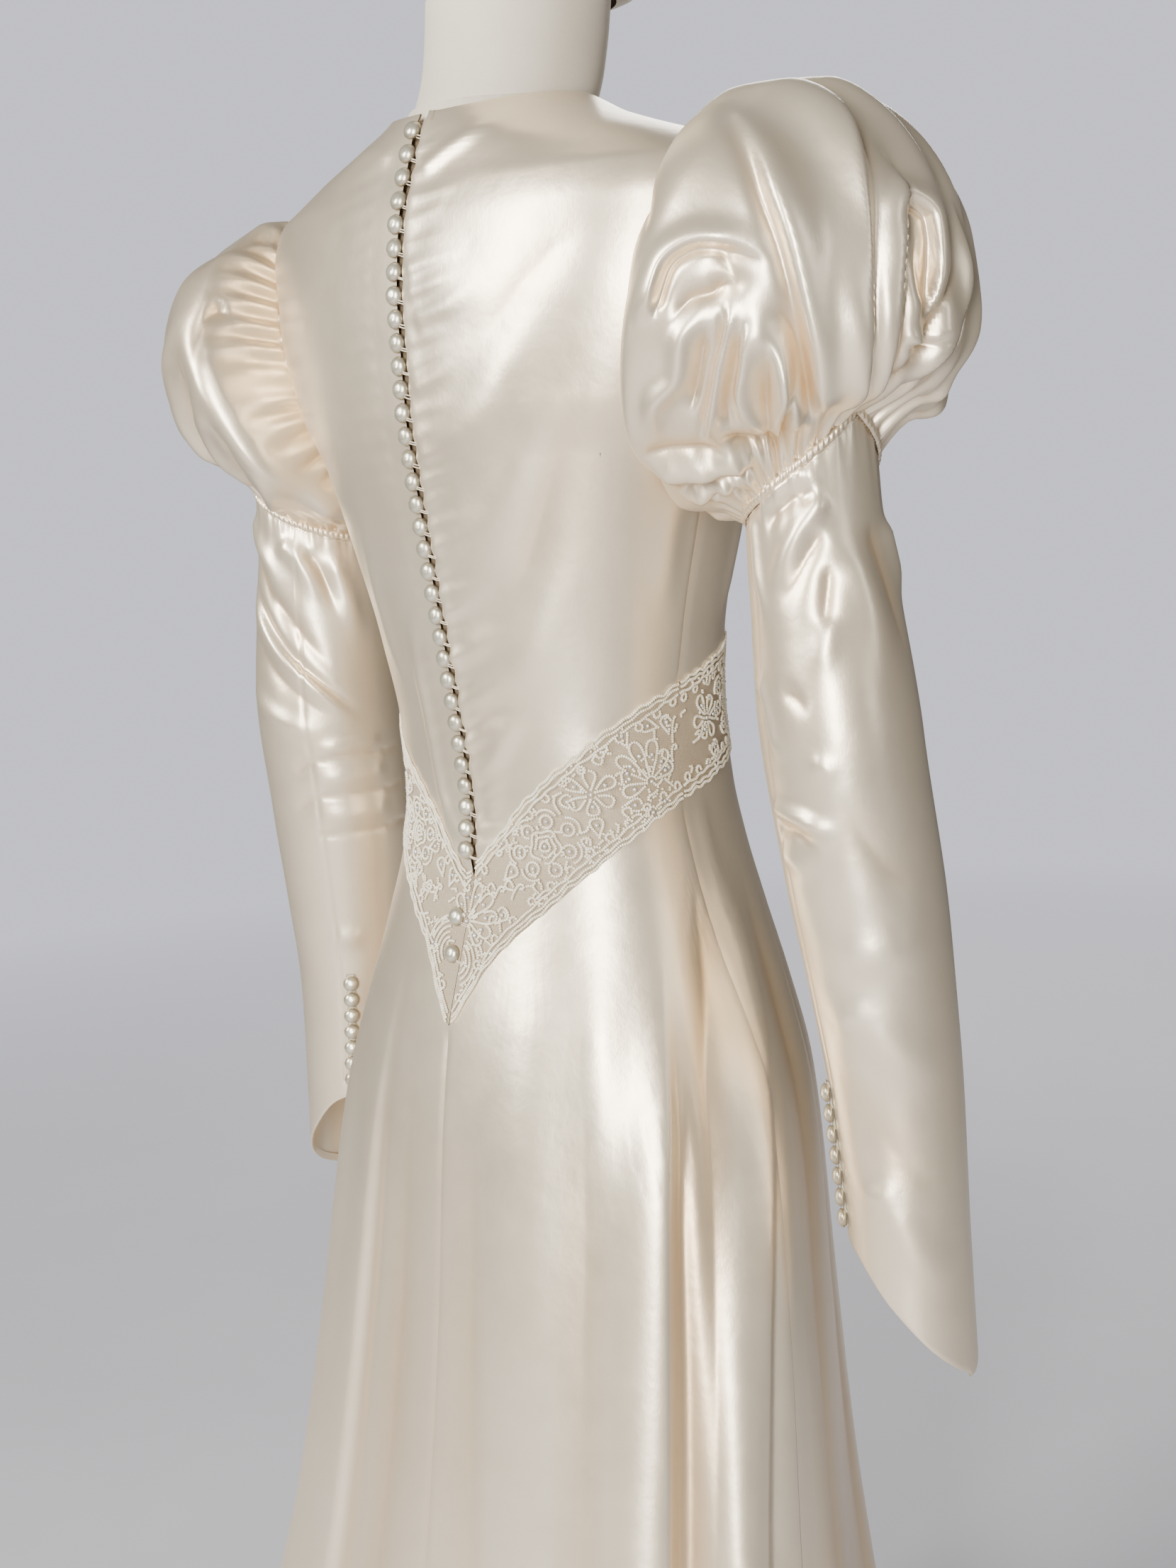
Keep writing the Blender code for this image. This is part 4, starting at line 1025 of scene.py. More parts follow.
def loose_sprigs(ends, name, spacing):
    """Short curved runs of beads that fill the ground between the flowers."""
    lots = np.random.default_rng(len(name) + 11)
    runs = []
    for _ in range(int((ends[1] - ends[0]) / spacing)):
        along = lots.uniform(ends[0] + 0.004, ends[1] - 0.004)
        angle = off_back(np.interp(along, arc_length, arc_angle))
        height = band_foot(angle) + lots.uniform(0.10, 0.90) * (band_top(angle) - band_foot(angle))
        line = hook(lots.uniform(0.006, 0.012), lots.uniform(-16, 16), lots.uniform(-1, 1))
        line = turn(line, lots.uniform(0, 360), (along, height))
        runs.append(line[(line[:, 0] > ends[0] + 0.001) & (line[:, 0] < ends[1] - 0.001)])
    return runs


net_panel("net_band_back_left", 0.08, 90, 90, MOTIFS, 0.0)
net_panel("net_band_back_right", -90, -0.08, 90, MOTIFS, 0.0)
front_middle = float(np.interp(180, arc_angle, arc_length))
net_panel("net_band_front", 90, 270, 170, FRONT_MOTIFS, front_middle)

# Lower sleeves: a tube of satin each, eased into the puff's seam, with a point over the hand. The
# cloth hangs in slanting folds from the seam, and the edge of the cuff is rolled and turned in.

# height, middle out, middle back, long half width, short half width; the long axis lies 45 degrees
# from outwards to the back
SLEEVE = (
    (1.230, 0.2320, 0.003, 0.0425, 0.0380),
    (1.170, 0.2320, 0.001, 0.0450, 0.0400),
    (1.100, 0.2375, -0.001, 0.0505, 0.0455),
    (1.030, 0.2430, -0.003, 0.0550, 0.0490),
    (0.944, 0.2495, -0.012, 0.0535, 0.0485),
    (0.870, 0.2560, -0.018, 0.0490, 0.0450),
    (0.800, 0.2615, -0.022, 0.0445, 0.0415),
    (0.720, 0.2680, -0.020, 0.0410, 0.0385),
    (0.620, 0.2750, -0.018, 0.0390, 0.0365),
)
SEAM_PEAK, SEAM_PEAK_ANGLE = 1.221, 10
SEAM_DROP = ((0, 0.000), (45, 0.024), (90, 0.045), (135, 0.060), (180, 0.068))
CUFF_POINT, CUFF_POINT_ANGLE = 0.627, -12
CUFF_RISE = ((0, 0.000), (20, 0.006), (50, 0.021), (90, 0.050), (130, 0.078), (180, 0.088))
CORD_SPACE = 0.0024
sleeve_out, sleeve_back, sleeve_long, sleeve_short = (curve(SLEEVE, n) for n in range(1, 5))
seam_drop, cuff_rise = curve(SEAM_DROP), curve(CUFF_RISE)
# Spots (angle from outwards to the back, height), width, height, share at the end, lap, ends
RIGHT_SLEEVE_FOLDS = [
    (((120, 0.900), (80, 0.862), (40, 0.836), (5, 0.822)), 0.0160, 0.0024, 1.0, 0, (0.4, 0.4)),
    (((125, 0.850), (85, 0.802), (50, 0.768), (20, 0.748)), 0.0150, -0.0019, 1.0, 0, (0.4, 0.4)),
    (((10, 0.930), (40, 0.906), (75, 0.902), (110, 0.922)), 0.0130, 0.0021, 1.0, 0, (0.4, 0.4)),
    (((66, 1.004), (42, 0.962), (15, 0.934)), 0.0120, -0.0019, 1.0, 0, (0.4, 0.4)),
    (((104, 0.764), (72, 0.738), (42, 0.708), (16, 0.684)), 0.0130, 0.0019, 1.0, 0, (0.4, 0.4)),
    (((112, 1.160), (89, 1.178), (66, 1.187), (41, 1.180)), 0.0045, 0.0028, 1.0, 0, (0.3, 0.3)),
    (((100, 1.153), (84, 1.167), (65, 1.174), (50, 1.172)), 0.0030, -0.0030, 1.0, 0, (0.3, 0.3)),
    (((41, 1.175), (55, 1.165), (72, 1.150), (88, 1.131), (106, 1.112)), 0.0060, 0.0040, 1.3, 0, (0.2, 0.5)),
    (((48, 1.155), (62, 1.143), (78, 1.124), (92, 1.105)), 0.0050, -0.0034, 1.3, 0, (0.2, 0.6)),
    (
        ((115, 1.170), (114, 1.152), (113, 1.133), (109, 1.112), (114, 1.090)), 0.0050, 0.0030, 1.0, 0,
        (0.2, 0.5)
    ),
    (((46, 1.136), (52, 1.120), (58, 1.100), (62, 1.080)), 0.0050, -0.0030, 1.3, 0, (0.2, 0.6)),
    (((53, 1.108), (59, 1.088), (65, 1.066)), 0.0070, 0.0024, 1.2, 0, (0.3, 0.6)),
    (((122, 1.075), (116, 1.052), (108, 1.030), (86, 1.026)), 0.0060, 0.0030, 1.2, 0, (0.2, 0.5)),
    (((124, 1.060), (118, 1.040), (112, 1.018)), 0.0045, -0.0030, 1.0, 0, (0.2, 0.5)),
    (((128, 0.990), (110, 0.989), (94, 0.986), (78, 0.980), (67, 0.973)), 0.0060, 0.0042, 1.0, 0, (0.2, 0.4)),
    (((126, 0.977), (110, 0.977), (97, 0.974), (80, 0.968)), 0.0042, -0.0036, 1.0, 0, (0.2, 0.4)),
    (((128, 0.960), (108, 0.958), (90, 0.951)), 0.0070, 0.0024, 1.0, 0, (0.2, 0.6)),
    (((80, 1.024), (70, 1.018), (60, 1.010)), 0.0060, 0.0018, 1.0, 0, (0.4, 0.5)),
    (((98, 1.063), (86, 1.059), (74, 1.048)), 0.0048, -0.0022, 1.0, 0, (0.4, 0.4)),
    (((30, 1.150), (18, 1.110), (12, 1.050)), 0.0090, 0.0030, 1.2, 0, (0.3, 0.5)),
    (((6, 1.160), (-6, 1.120), (-14, 1.070)), 0.0080, -0.0036, 1.2, 0, (0.2, 0.5)),
    (((-20, 1.160), (-34, 1.130), (-52, 1.105)), 0.0080, 0.0040, 1.2, 0, (0.2, 0.5)),
    (((-62, 1.140), (-80, 1.120), (-98, 1.080)), 0.0080, -0.0036, 1.2, 0, (0.2, 0.5)),
    (((-100, 1.130), (-118, 1.105), (-140, 1.080)), 0.0080, 0.0040, 1.2, 0, (0.2, 0.5)),
    (((-60, 1.010), (-84, 1.000), (-112, 1.006)), 0.0070, 0.0034, 1.0, 0, (0.3, 0.3)),
    (((-66, 0.990), (-86, 0.982), (-108, 0.988)), 0.0050, -0.0034, 1.0, 0, (0.3, 0.3)),
    (((170, 1.120), (176, 1.080), (184, 1.040)), 0.0080, 0.0030, 1.0, 0, (0.3, 0.4)),
    (((150, 1.130), (158, 1.090), (160, 1.040)), 0.0070, -0.0030, 1.0, 0, (0.3, 0.4)),
    (((70, 0.880), (86, 0.860), (108, 0.852)), 0.0080, 0.0016, 1.0, 0, (0.4, 0.4)),
    (((60, 0.760), (84, 0.748), (110, 0.752)), 0.0070, 0.0012, 1.0, 0, (0.4, 0.4)),
    (((118, 1.150), (121, 1.000), (124, 0.860), (126, 0.720)), 0.0012, -0.0008, 1.0, 0, (0, 0)),
]
LEFT_SLEEVE_FOLDS = [
    (((112, 0.984), (134, 0.989), (168, 0.990), (204, 0.992)), 0.0014, -0.0013, 1.0, 0, (0.3, 0.0)),
    (((110, 0.955), (134, 0.960), (168, 0.960), (204, 0.962)), 0.0014, -0.0013, 1.0, 0, (0.3, 0.0)),
    (((108, 0.926), (134, 0.929), (168, 0.930), (204, 0.932)), 0.0014, -0.0013, 1.0, 0, (0.3, 0.0)),
    (((120, 0.996), (150, 0.999), (186, 1.000)), 0.0060, 0.0018, 1.0, 0, (0.4, 0.2)),
    (((112, 0.972), (146, 0.974), (190, 0.976)), 0.0085, 0.0022, 1.0, 0, (0.5, 0.2)),
    (((110, 0.943), (146, 0.944), (190, 0.946)), 0.0085, 0.0020, 1.0, 0, (0.5, 0.2)),
    (((104, 0.974), (112, 0.982), (122, 0.990)), 0.0045, -0.0016, 1.0, 0, (0.5, 0.3)),
    (((100, 0.945), (110, 0.953), (120, 0.960)), 0.0045, -0.0014, 1.0, 0, (0.5, 0.3)),
    (((50, 1.125), (100, 1.073), (169, 1.012)), 0.0100, 0.0034, 1.0, -0.0016, (0.3, 0.3)),
    (((66, 1.086), (106, 1.050), (150, 1.018)), 0.0060, -0.0026, 1.0, 0, (0.4, 0.4)),
    (((52, 1.050), (96, 1.022), (142, 1.006)), 0.0080, 0.0028, 1.0, 0, (0.3, 0.4)),
    (((76, 1.132), (112, 1.096), (152, 1.050)), 0.0060, -0.0028, 1.0, 0, (0.4, 0.4)),
    (((40, 1.178), (60, 1.160), (84, 1.140), (106, 1.110)), 0.0070, 0.0040, 1.2, 0, (0.2, 0.5)),
    (((54, 1.150), (76, 1.130), (98, 1.100)), 0.0050, -0.0034, 1.2, 0, (0.2, 0.5)),
    (((100, 1.158), (122, 1.140), (144, 1.104)), 0.0070, 0.0040, 1.2, 0, (0.2, 0.5)),
    (((126, 1.150), (142, 1.128), (156, 1.090)), 0.0050, -0.0036, 1.2, 0, (0.2, 0.5)),
    (((150, 1.146), (164, 1.110), (172, 1.070)), 0.0070, 0.0034, 1.2, 0, (0.2, 0.5)),
    (((20, 1.170), (8, 1.130), (-2, 1.080)), 0.0080, 0.0036, 1.2, 0, (0.2, 0.5)),
    (((2, 1.160), (-14, 1.124), (-26, 1.080)), 0.0070, -0.0036, 1.2, 0, (0.2, 0.5)),
    (((-30, 1.160), (-46, 1.126), (-70, 1.100)), 0.0080, 0.0036, 1.2, 0, (0.2, 0.5)),
    (((-74, 1.130), (-92, 1.110), (-116, 1.080)), 0.0080, -0.0034, 1.2, 0, (0.2, 0.5)),
    (((-110, 1.130), (-132, 1.100), (-150, 1.060)), 0.0080, 0.0036, 1.2, 0, (0.2, 0.5)),
    (((-58, 0.990), (-80, 0.982), (-110, 0.990)), 0.0070, 0.0034, 1.0, 0, (0.3, 0.3)),
    (((-64, 0.970), (-84, 0.964), (-106, 0.970)), 0.0050, -0.0034, 1.0, 0, (0.3, 0.3)),
    (((120, 0.850), (136, 0.842), (156, 0.846)), 0.0080, 0.0016, 1.0, 0, (0.4, 0.4)),
    (((118, 1.140), (121, 1.000), (124, 0.860), (126, 0.720)), 0.0012, -0.0008, 1.0, 0, (0, 0)),
]


def seam_at(angle):
    return SEAM_PEAK - seam_drop(off_back(angle - SEAM_PEAK_ANGLE))


def cuff_at(angle):
    return CUFF_POINT + cuff_rise(off_back(angle - CUFF_POINT_ANGLE))


def sleeve_surface(side, out=0.0):
    """Points of a sleeve, by degrees from outwards to the back and height. Side is 1 on the left."""

    def at(angle, height):
        a, turned = np.radians(np.asarray(angle) - 45), math.radians(45)
        along = (sleeve_long(height) + out) * np.cos(a)
        across = (sleeve_short(height) + out) * np.sin(a)
        x = sleeve_out(height) + along * math.cos(turned) - across * math.sin(turned)
        y = sleeve_back(height) + along * math.sin(turned) + across * math.cos(turned)
        return np.stack([side * x, y, height + 0 * x], axis=-1)

    return at


def ruffled(angle, waves, seed):
    """Uneven waves round a limb: their spacing and their size both wander."""
    lots = np.random.default_rng(seed)
    a = np.radians(angle)
    wander = sum(lots.uniform(-0.5, 0.5) * np.sin(k * a + lots.uniform(0, 6.3)) for k in range(1, 8))
    size = 1 + sum(lots.uniform(-0.22, 0.22) * np.sin(k * a + lots.uniform(0, 6.3)) for k in range(2, 14))
    return size * np.cos(waves * a + 1.6 * wander)


def lower_sleeve(name, side, folds, seed):
    wide, deep = 180, 160
    angle = -side * 360 * np.arange(wide) / wide
    foot, top = cuff_at(angle), seam_at(angle) - CORD_SPACE
    height = foot + np.linspace(0, 1, deep)[:, None] * (top - foot)
    surface = sleeve_surface(side)
    smooth = surface(angle[None], height)
    shaped = folded(smooth, surface, folds, True)
    below = (top - height)[..., None]
    gathers = 0.0003 * ruffled(angle, 46, seed)[None, :, None] * np.exp(-((below / 0.007) ** 1.5))
    gathers = gathers + 0.0004 * ruffled(angle, 21, seed + 1)[None, :, None] * np.exp(
        -((below / 0.022) ** 1.5)
    )
    shaped = shaped + facing(smooth, True) * (gathers - 0.0009 * np.exp(-(below / 0.004)))
    depth = np.pad(painted_fold_shade(shaped, smooth, 190), ((6, 2), (0, 0)), mode="edge")
    shaped = turned_in(shaped, depth=0.006, radius=0.0009, top=False)
    under = [
        sleeve_surface(side, out)(angle, seam_at(angle) + rise) for rise,
        out in ((-0.0010, -0.0008), (0.0004, -0.001))
    ]
    shaped = np.concatenate([shaped, under])
    piece = cloth(f"satin_sleeve_{name}", shaped, satin, True, depth)
    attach(piece, "root")
    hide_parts(f"sleeve_{name}")
    return piece


# Puffs: wide cuts of satin, gathered into the armhole and into the seam above the elbow. Each
# stands out over the arm and falls over the seam in broad petals with sharp valleys between.

# share of the way from armhole to seam, middle out, middle height, top out, top height, bottom
# out, bottom height, depth to the back, depth to the front
PUFF = (
    (0.00, 0.181, 1.2885, 0.203, 1.372, 0.158, 1.205, 0.063, 0.063),
    (0.10, 0.189, 1.292, 0.206, 1.394, 0.1565, 1.191, 0.094, 0.082),
    (0.22, 0.196, 1.290, 0.219, 1.407, 0.1565, 1.181, 0.118, 0.096),
    (0.36, 0.207, 1.283, 0.254, 1.403, 0.158, 1.173, 0.126, 0.100),
    (0.50, 0.222, 1.272, 0.298, 1.371, 0.160, 1.167, 0.120, 0.098),
    (0.64, 0.237, 1.255, 0.322, 1.325, 0.163, 1.163, 0.106, 0.090),
    (0.76, 0.245, 1.235, 0.328, 1.277, 0.167, 1.161, 0.090, 0.080),
    (0.86, 0.245, 1.216, 0.317, 1.243, 0.172, 1.161, 0.074, 0.068),
    (0.94, 0.240, 1.202, 0.296, 1.228, 0.180, 1.162, 0.058, 0.056),
    (1.00, 0.232, 1.190, 0.272, 1.222, 0.192, 1.155, 0.042, 0.042),
)
LEFT_DROP = 0.030
puff_curves = [curve(PUFF, n) for n in range(1, 9)]
# Spots (angle from the top to the back, share of the way), width, height, narrow, lap, ends
RIGHT_PUFF_FOLDS = [
    (
        ((30, 0.30), (40, 0.42), (48, 0.54), (53, 0.66), (56, 0.78), (56, 0.95)), 0.0150, 0.0065, 0.7,
        0.0020, (0.4, 0.1)
    ),
    (((60, 0.64), (63, 0.72), (63, 0.82), (59, 0.95)), 0.0080, -0.0050, 0.7, 0, (0.4, 0.1)),
    (((70, 0.62), (72, 0.72), (71, 0.82), (64, 0.96)), 0.0080, 0.0055, 0.7, 0, (0.4, 0.1)),
    (
        ((10, 0.22), (15, 0.40), (24, 0.54), (33, 0.66), (40, 0.78), (44, 0.95)), 0.0190, 0.0075, 0.6,
        -0.0030, (0.4, 0.1)
    ),
    (((18, 0.48), (24, 0.60), (31, 0.72), (37, 0.84), (40, 0.95)), 0.0085, 0.0050, 0.6, 0, (0.4, 0.2)),
    (((12, 0.52), (18, 0.64), (26, 0.76), (32, 0.95)), 0.0110, 0.0052, 0.7, -0.0022, (0.3, 0.1)),
    (((24, 0.66), (12, 0.61), (3, 0.66), (6, 0.76), (18, 0.82)), 0.0085, 0.0060, 1.0, 0.0018, (0.3, 0.3)),
    (((14, 0.68), (12, 0.73), (17, 0.77)), 0.0085, -0.0035, 1.0, 0, (0.4, 0.4)),
    (((-4, 0.58), (-4, 0.70), (8, 0.80), (24, 0.95)), 0.0050, -0.0070, 0.9, 0, (0.4, 0.1)),
    (((-14, 0.60), (-15, 0.73), (-2, 0.83), (15, 0.96)), 0.0110, 0.0065, 0.6, -0.0016, (0.3, 0.2)),
    (((24, 0.82), (10, 0.82), (-4, 0.80)), 0.0050, 0.0040, 1.0, 0.0012, (0.3, 0.4)),
    (((-26, 0.66), (-16, 0.78), (-2, 0.87), (12, 0.97)), 0.0048, -0.0075, 0.9, 0, (0.4, 0.1)),
    (((-12, 0.92), (-40, 0.90), (-70, 0.93)), 0.0090, 0.0060, 1.0, 0, (0.3, 0.3)),
    (
        ((92, 0.47), (88, 0.42), (79, 0.41), (70, 0.45), (63, 0.53), (58, 0.62)), 0.0090, 0.0062, 0.9,
        0.0018, (0.3, 0.3)
    ),
    (((90, 0.52), (82, 0.53), (75, 0.57), (69, 0.57)), 0.0058, -0.0060, 1.0, 0, (0.4, 0.3)),
    (((66, 0.50), (68, 0.56), (72, 0.63)), 0.0070, -0.0035, 1.0, 0, (0.4, 0.3)),
    (((78, 0.585), (90, 0.57), (101, 0.60), (113, 0.55), (125, 0.57)), 0.0065, 0.0048, 1.0, 0, (0.3, 0.3)),
    (((74, 0.60), (79, 0.65), (90, 0.70), (103, 0.75), (112, 0.78)), 0.0058, 0.0055, 1.0, 0.0012, (0.3, 0.3)),
    (((82, 0.60), (95, 0.655), (108, 0.685)), 0.0044, -0.0055, 1.0, 0, (0.3, 0.3)),
    (((72, 0.66), (81, 0.72), (90, 0.81), (89, 0.94)), 0.0062, 0.0062, 0.9, 0.0012, (0.3, 0.3)),
    (((74, 0.63), (84, 0.70), (95, 0.77), (99, 0.84)), 0.0042, -0.0055, 1.0, 0, (0.3, 0.3)),
    (((66, 0.72), (70, 0.82), (79, 0.90), (82, 0.97)), 0.0062, 0.0062, 0.8, -0.0012, (0.3, 0.2)),
    (((69, 0.69), (76, 0.78), (83, 0.87), (86, 0.96)), 0.0044, -0.0062, 0.9, 0, (0.3, 0.1)),
    (((106, 0.80), (99, 0.88), (90, 0.93), (77, 0.97)), 0.0055, -0.0085, 1.0, 0, (0.3, 0.1)),
    (
        ((136, 0.50), (132, 0.66), (124, 0.80), (110, 0.90), (94, 0.97)), 0.0090, 0.0075, 0.8, 0.0020,
        (0.3, 0.2)
    ),
    (((134, 0.44), (125, 0.62), (116, 0.76), (106, 0.88)), 0.0050, -0.0050, 0.9, 0, (0.4, 0.2)),
    (((150, 0.70), (138, 0.82), (122, 0.92), (108, 0.98)), 0.0080, 0.0060, 0.9, 0.0015, (0.3, 0.2)),
    (((146, 0.64), (134, 0.78), (120, 0.88), (104, 0.96)), 0.0046, -0.0065, 0.9, 0, (0.3, 0.1)),
    (((20, 0.16), (34, 0.27), (46, 0.38)), 0.0160, 0.0035, 1.0, 0, (0.4, 0.5)),
    (((62, 0.10), (68, 0.22), (76, 0.34)), 0.0070, -0.0040, 1.3, 0, (0.1, 0.6)),
    (((8, 0.06), (12, 0.20), (20, 0.30)), 0.0070, -0.0035, 1.3, 0, (0.1, 0.6)),
    (((-30, 0.30), (-34, 0.50), (-32, 0.70), (-22, 0.92)), 0.0120, 0.0070, 0.7, 0, (0.4, 0.2)),
    (((-44, 0.34), (-50, 0.56), (-48, 0.76), (-36, 0.96)), 0.0050, -0.0085, 0.8, 0, (0.4, 0.1)),
    (((-62, 0.34), (-68, 0.56), (-66, 0.78), (-54, 0.95)), 0.0110, 0.0070, 0.7, 0, (0.4, 0.2)),
    (((-78, 0.38), (-86, 0.60), (-84, 0.80), (-70, 0.97)), 0.0050, -0.0085, 0.8, 0, (0.4, 0.1)),
    (((-96, 0.34), (-104, 0.58), (-100, 0.80), (-86, 0.95)), 0.0110, 0.0065, 0.7, 0, (0.4, 0.2)),
    (((-114, 0.40), (-122, 0.62), (-116, 0.84), (-100, 0.97)), 0.0050, -0.0075, 0.8, 0, (0.4, 0.1)),
    (((-132, 0.40), (-140, 0.64), (-134, 0.86)), 0.0090, 0.0050, 0.8, 0, (0.4, 0.3)),
    (((160, 0.50), (164, 0.70), (160, 0.90)), 0.0060, -0.0040, 1.0, 0, (0.4, 0.3)),
]
LEFT_PUFF_FOLDS = [
    (((60, 0.30), (72, 0.46), (76, 0.62), (72, 0.80), (66, 0.94)), 0.0130, 0.0060, 0.6, 0, (0.4, 0.2)),
    (((78, 0.38), (88, 0.54), (88, 0.72), (80, 0.88), (74, 0.97)), 0.0050, -0.0075, 0.8, 0, (0.4, 0.1)),
    (((92, 0.36), (102, 0.54), (102, 0.74), (92, 0.93)), 0.0110, 0.0055, 0.7, 0, (0.4, 0.2)),
    (((108, 0.42), (116, 0.60), (114, 0.80), (100, 0.97)), 0.0048, -0.0070, 0.8, 0, (0.4, 0.1)),
    (((128, 0.44), (132, 0.64), (126, 0.84), (112, 0.95)), 0.0090, 0.0050, 0.8, 0, (0.4, 0.2)),
    (((42, 0.34), (54, 0.52), (58, 0.72), (54, 0.94)), 0.0050, -0.0080, 0.8, 0, (0.4, 0.1)),
    (((26, 0.30), (36, 0.50), (42, 0.70), (42, 0.90)), 0.0120, 0.0065, 0.7, 0, (0.4, 0.2)),
    (((8, 0.40), (18, 0.58), (26, 0.76), (30, 0.96)), 0.0048, -0.0085, 0.8, 0, (0.4, 0.1)),
    (((-8, 0.36), (-2, 0.56), (8, 0.76), (16, 0.93)), 0.0110, 0.0065, 0.7, 0, (0.4, 0.2)),
    (((-24, 0.42), (-22, 0.60), (-10, 0.80), (4, 0.97)), 0.0048, -0.0080, 0.8, 0, (0.4, 0.1)),
    (((-40, 0.36), (-44, 0.56), (-34, 0.78), (-18, 0.94)), 0.0115, 0.0065, 0.7, 0, (0.4, 0.2)),
    (((-56, 0.40), (-62, 0.60), (-56, 0.80), (-38, 0.97)), 0.0050, -0.0080, 0.8, 0, (0.4, 0.1)),
    (((-74, 0.36), (-82, 0.58), (-76, 0.80), (-60, 0.95)), 0.0110, 0.0065, 0.7, 0, (0.4, 0.2)),
    (((-92, 0.40), (-100, 0.62), (-94, 0.82), (-78, 0.97)), 0.0050, -0.0075, 0.8, 0, (0.4, 0.1)),
    (((-112, 0.38), (-120, 0.60), (-114, 0.82), (-98, 0.95)), 0.0100, 0.0055, 0.8, 0, (0.4, 0.2)),
    (((70, 0.12), (80, 0.24), (94, 0.34)), 0.0080, -0.0040, 1.2, 0, (0.1, 0.6)),
    (((30, 0.08), (38, 0.20), (52, 0.32)), 0.0080, -0.0035, 1.2, 0, (0.1, 0.6)),
    (((158, 0.46), (162, 0.70), (158, 0.90)), 0.0060, -0.0040, 1.0, 0, (0.4, 0.3)),
]


def puff_surface(side):
    """Points of a puff, by degrees from its top to the back and share of the way to the seam."""
    sleeve = sleeve_surface(side)

    def at(angle, share):
        angle, share = np.broadcast_arrays(np.asarray(angle, float), np.asarray(share, float))
        x, z, top_x, top_z, low_x, low_z, to_back, to_front = (c(share) for c in puff_curves)
        up, back = np.cos(np.radians(angle)), np.sin(np.radians(angle))
        sink = LEFT_DROP * np.maximum(up, 0) * np.sin(math.pi * share) if side > 0 else 0.0
        edge_x, edge_z = np.where(up > 0, top_x, low_x), np.where(up > 0, top_z, low_z)
        out, rise = (edge_x - x) * np.abs(up), (edge_z - z) * np.abs(up) - sink
        y = back * np.where(back > 0, to_back, to_front)
        crowded = np.radians(10 * (angle + 24 * np.sin(np.radians(2 * angle))))
        grow = 1 + 0.022 * np.sin(math.pi * share) ** 0.6 * np.cos(crowded)
        made = np.stack([side * (x + out * grow), y * grow, z + rise * grow], axis=-1)
        middle, half = (SHOULDER + UNDERARM) / 2, (SHOULDER - UNDERARM) / 2
        height = np.clip(middle + half * up, UNDERARM + 1e-5, SHOULDER - 1e-5)
        edge = side_angle(height)
        hole = body_surface(np.where(back > 0, edge, 180 - edge), height)
        hole[..., 0] = side * (armhole_x(height) + CLOTH_GAP)
        foot = sleeve(angle, seam_at(angle) + CORD_SPACE)
        near_hole, near_foot = (1 - ramp(share, 0, 0.10))[..., None], ramp(share, 0.94, 1.0)[..., None]
        made = made + (hole - made) * near_hole
        return made + (foot - made) * near_foot

    return at


def puff(name, side, folds, wide, deep, seed):
    angle = -side * 360 * np.arange(wide) / wide
    share = np.linspace(1, 0, deep)[:, None]
    share = share + 0.06 * np.sin(2 * math.pi * share) / 2
    surface = puff_surface(side)
    smooth = surface(angle[None], share)
    shaped = folded(smooth, surface, folds, True)
    settle = np.maximum(ramp(share, 0.93, 1.0), 1 - ramp(share, 0.0, 0.09))[..., None]
    shaped = shaped + (smooth - shaped) * settle
    normals = facing(smooth, True)
    low = ramp(share, 0.62, 0.97) * (1 - ramp(share, 0.975, 1.0) * 0.75)
    tiny = ramp(share, 0.86, 0.985) * (1 - ramp(share, 0.985, 1.0) * 0.5)
    high = (1 - ramp(share, 0.04, 0.24)) * ramp(share, 0.0, 0.03)
    waves = 0.0019 * ruffled(angle, 24, seed)[None] * low
    waves = waves + 0.0010 * ruffled(angle, 47, seed + 1)[None] * tiny
    waves = waves + 0.0016 * ruffled(angle, 32, seed + 2)[None] * high
    shaped = shaped + normals * waves[..., None]
    under = [
        sleeve_surface(side, out)(angle, seam_at(angle) + rise) for rise,
        out in ((-0.0004, -0.001), (0.0010, -0.0006))
    ]
    shaped = np.concatenate([under, shaped])
    depth = np.pad(painted_fold_shade(shaped[2:], smooth, 130), ((2, 0), (0, 0)), mode="edge")
    piece = cloth(f"satin_puff_{name}", shaped, satin, True, depth)
    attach(piece, "root")
    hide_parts(f"puff_{name}")
    return piece


puff("right", -1, RIGHT_PUFF_FOLDS, 360, 140, 20)
puff("left", 1, LEFT_PUFF_FOLDS, 270, 110, 40)
lower_sleeve("right", -1, RIGHT_SLEEVE_FOLDS, 60)
lower_sleeve("left", 1, LEFT_SLEEVE_FOLDS, 80)

# Gather seams: a narrow strip of the satin, shirred tightly over a cord, covers the join of each
# puff to its sleeve. Two rows of small hand stitches hold it.


def gather_seam(name, side, seed):
    wide, deep = 540, 11
    angle = -side * 360 * np.arange(wide) / wide
    middle = seam_at(angle)
    across = np.linspace(-1, 1, deep)[:, None]
    crimps = 0.5 + 0.5 * ruffled(angle, 78, seed)
    height = middle + across * (0.0031 + 0.0003 * ruffled(angle, 31, seed + 1))
    lift = 0.0004 + 0.0017 * np.sqrt(np.maximum(0, 1 - across**2))
    lift = lift + 0.0007 * crimps[None] * (1 - across**4)
    base = sleeve_surface(side)(angle[None], height)
    shaped = base + facing(base, True) * lift[..., None]
    # Painted shade in the hollows between the crimps, given through the depth layer.
    painted_crimp_shade = np.clip(1 - crimps[None] * 1.6, 0, 1) * np.ones_like(across) * 0.6
    piece = cloth(f"satin_gather_seam_{name}", shaped, satin, True, painted_crimp_shade)
    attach(piece, "root")
    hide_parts(f"gather_cord_{name}")


gather_seam("right", -1, 5)
gather_seam("left", 1, 9)

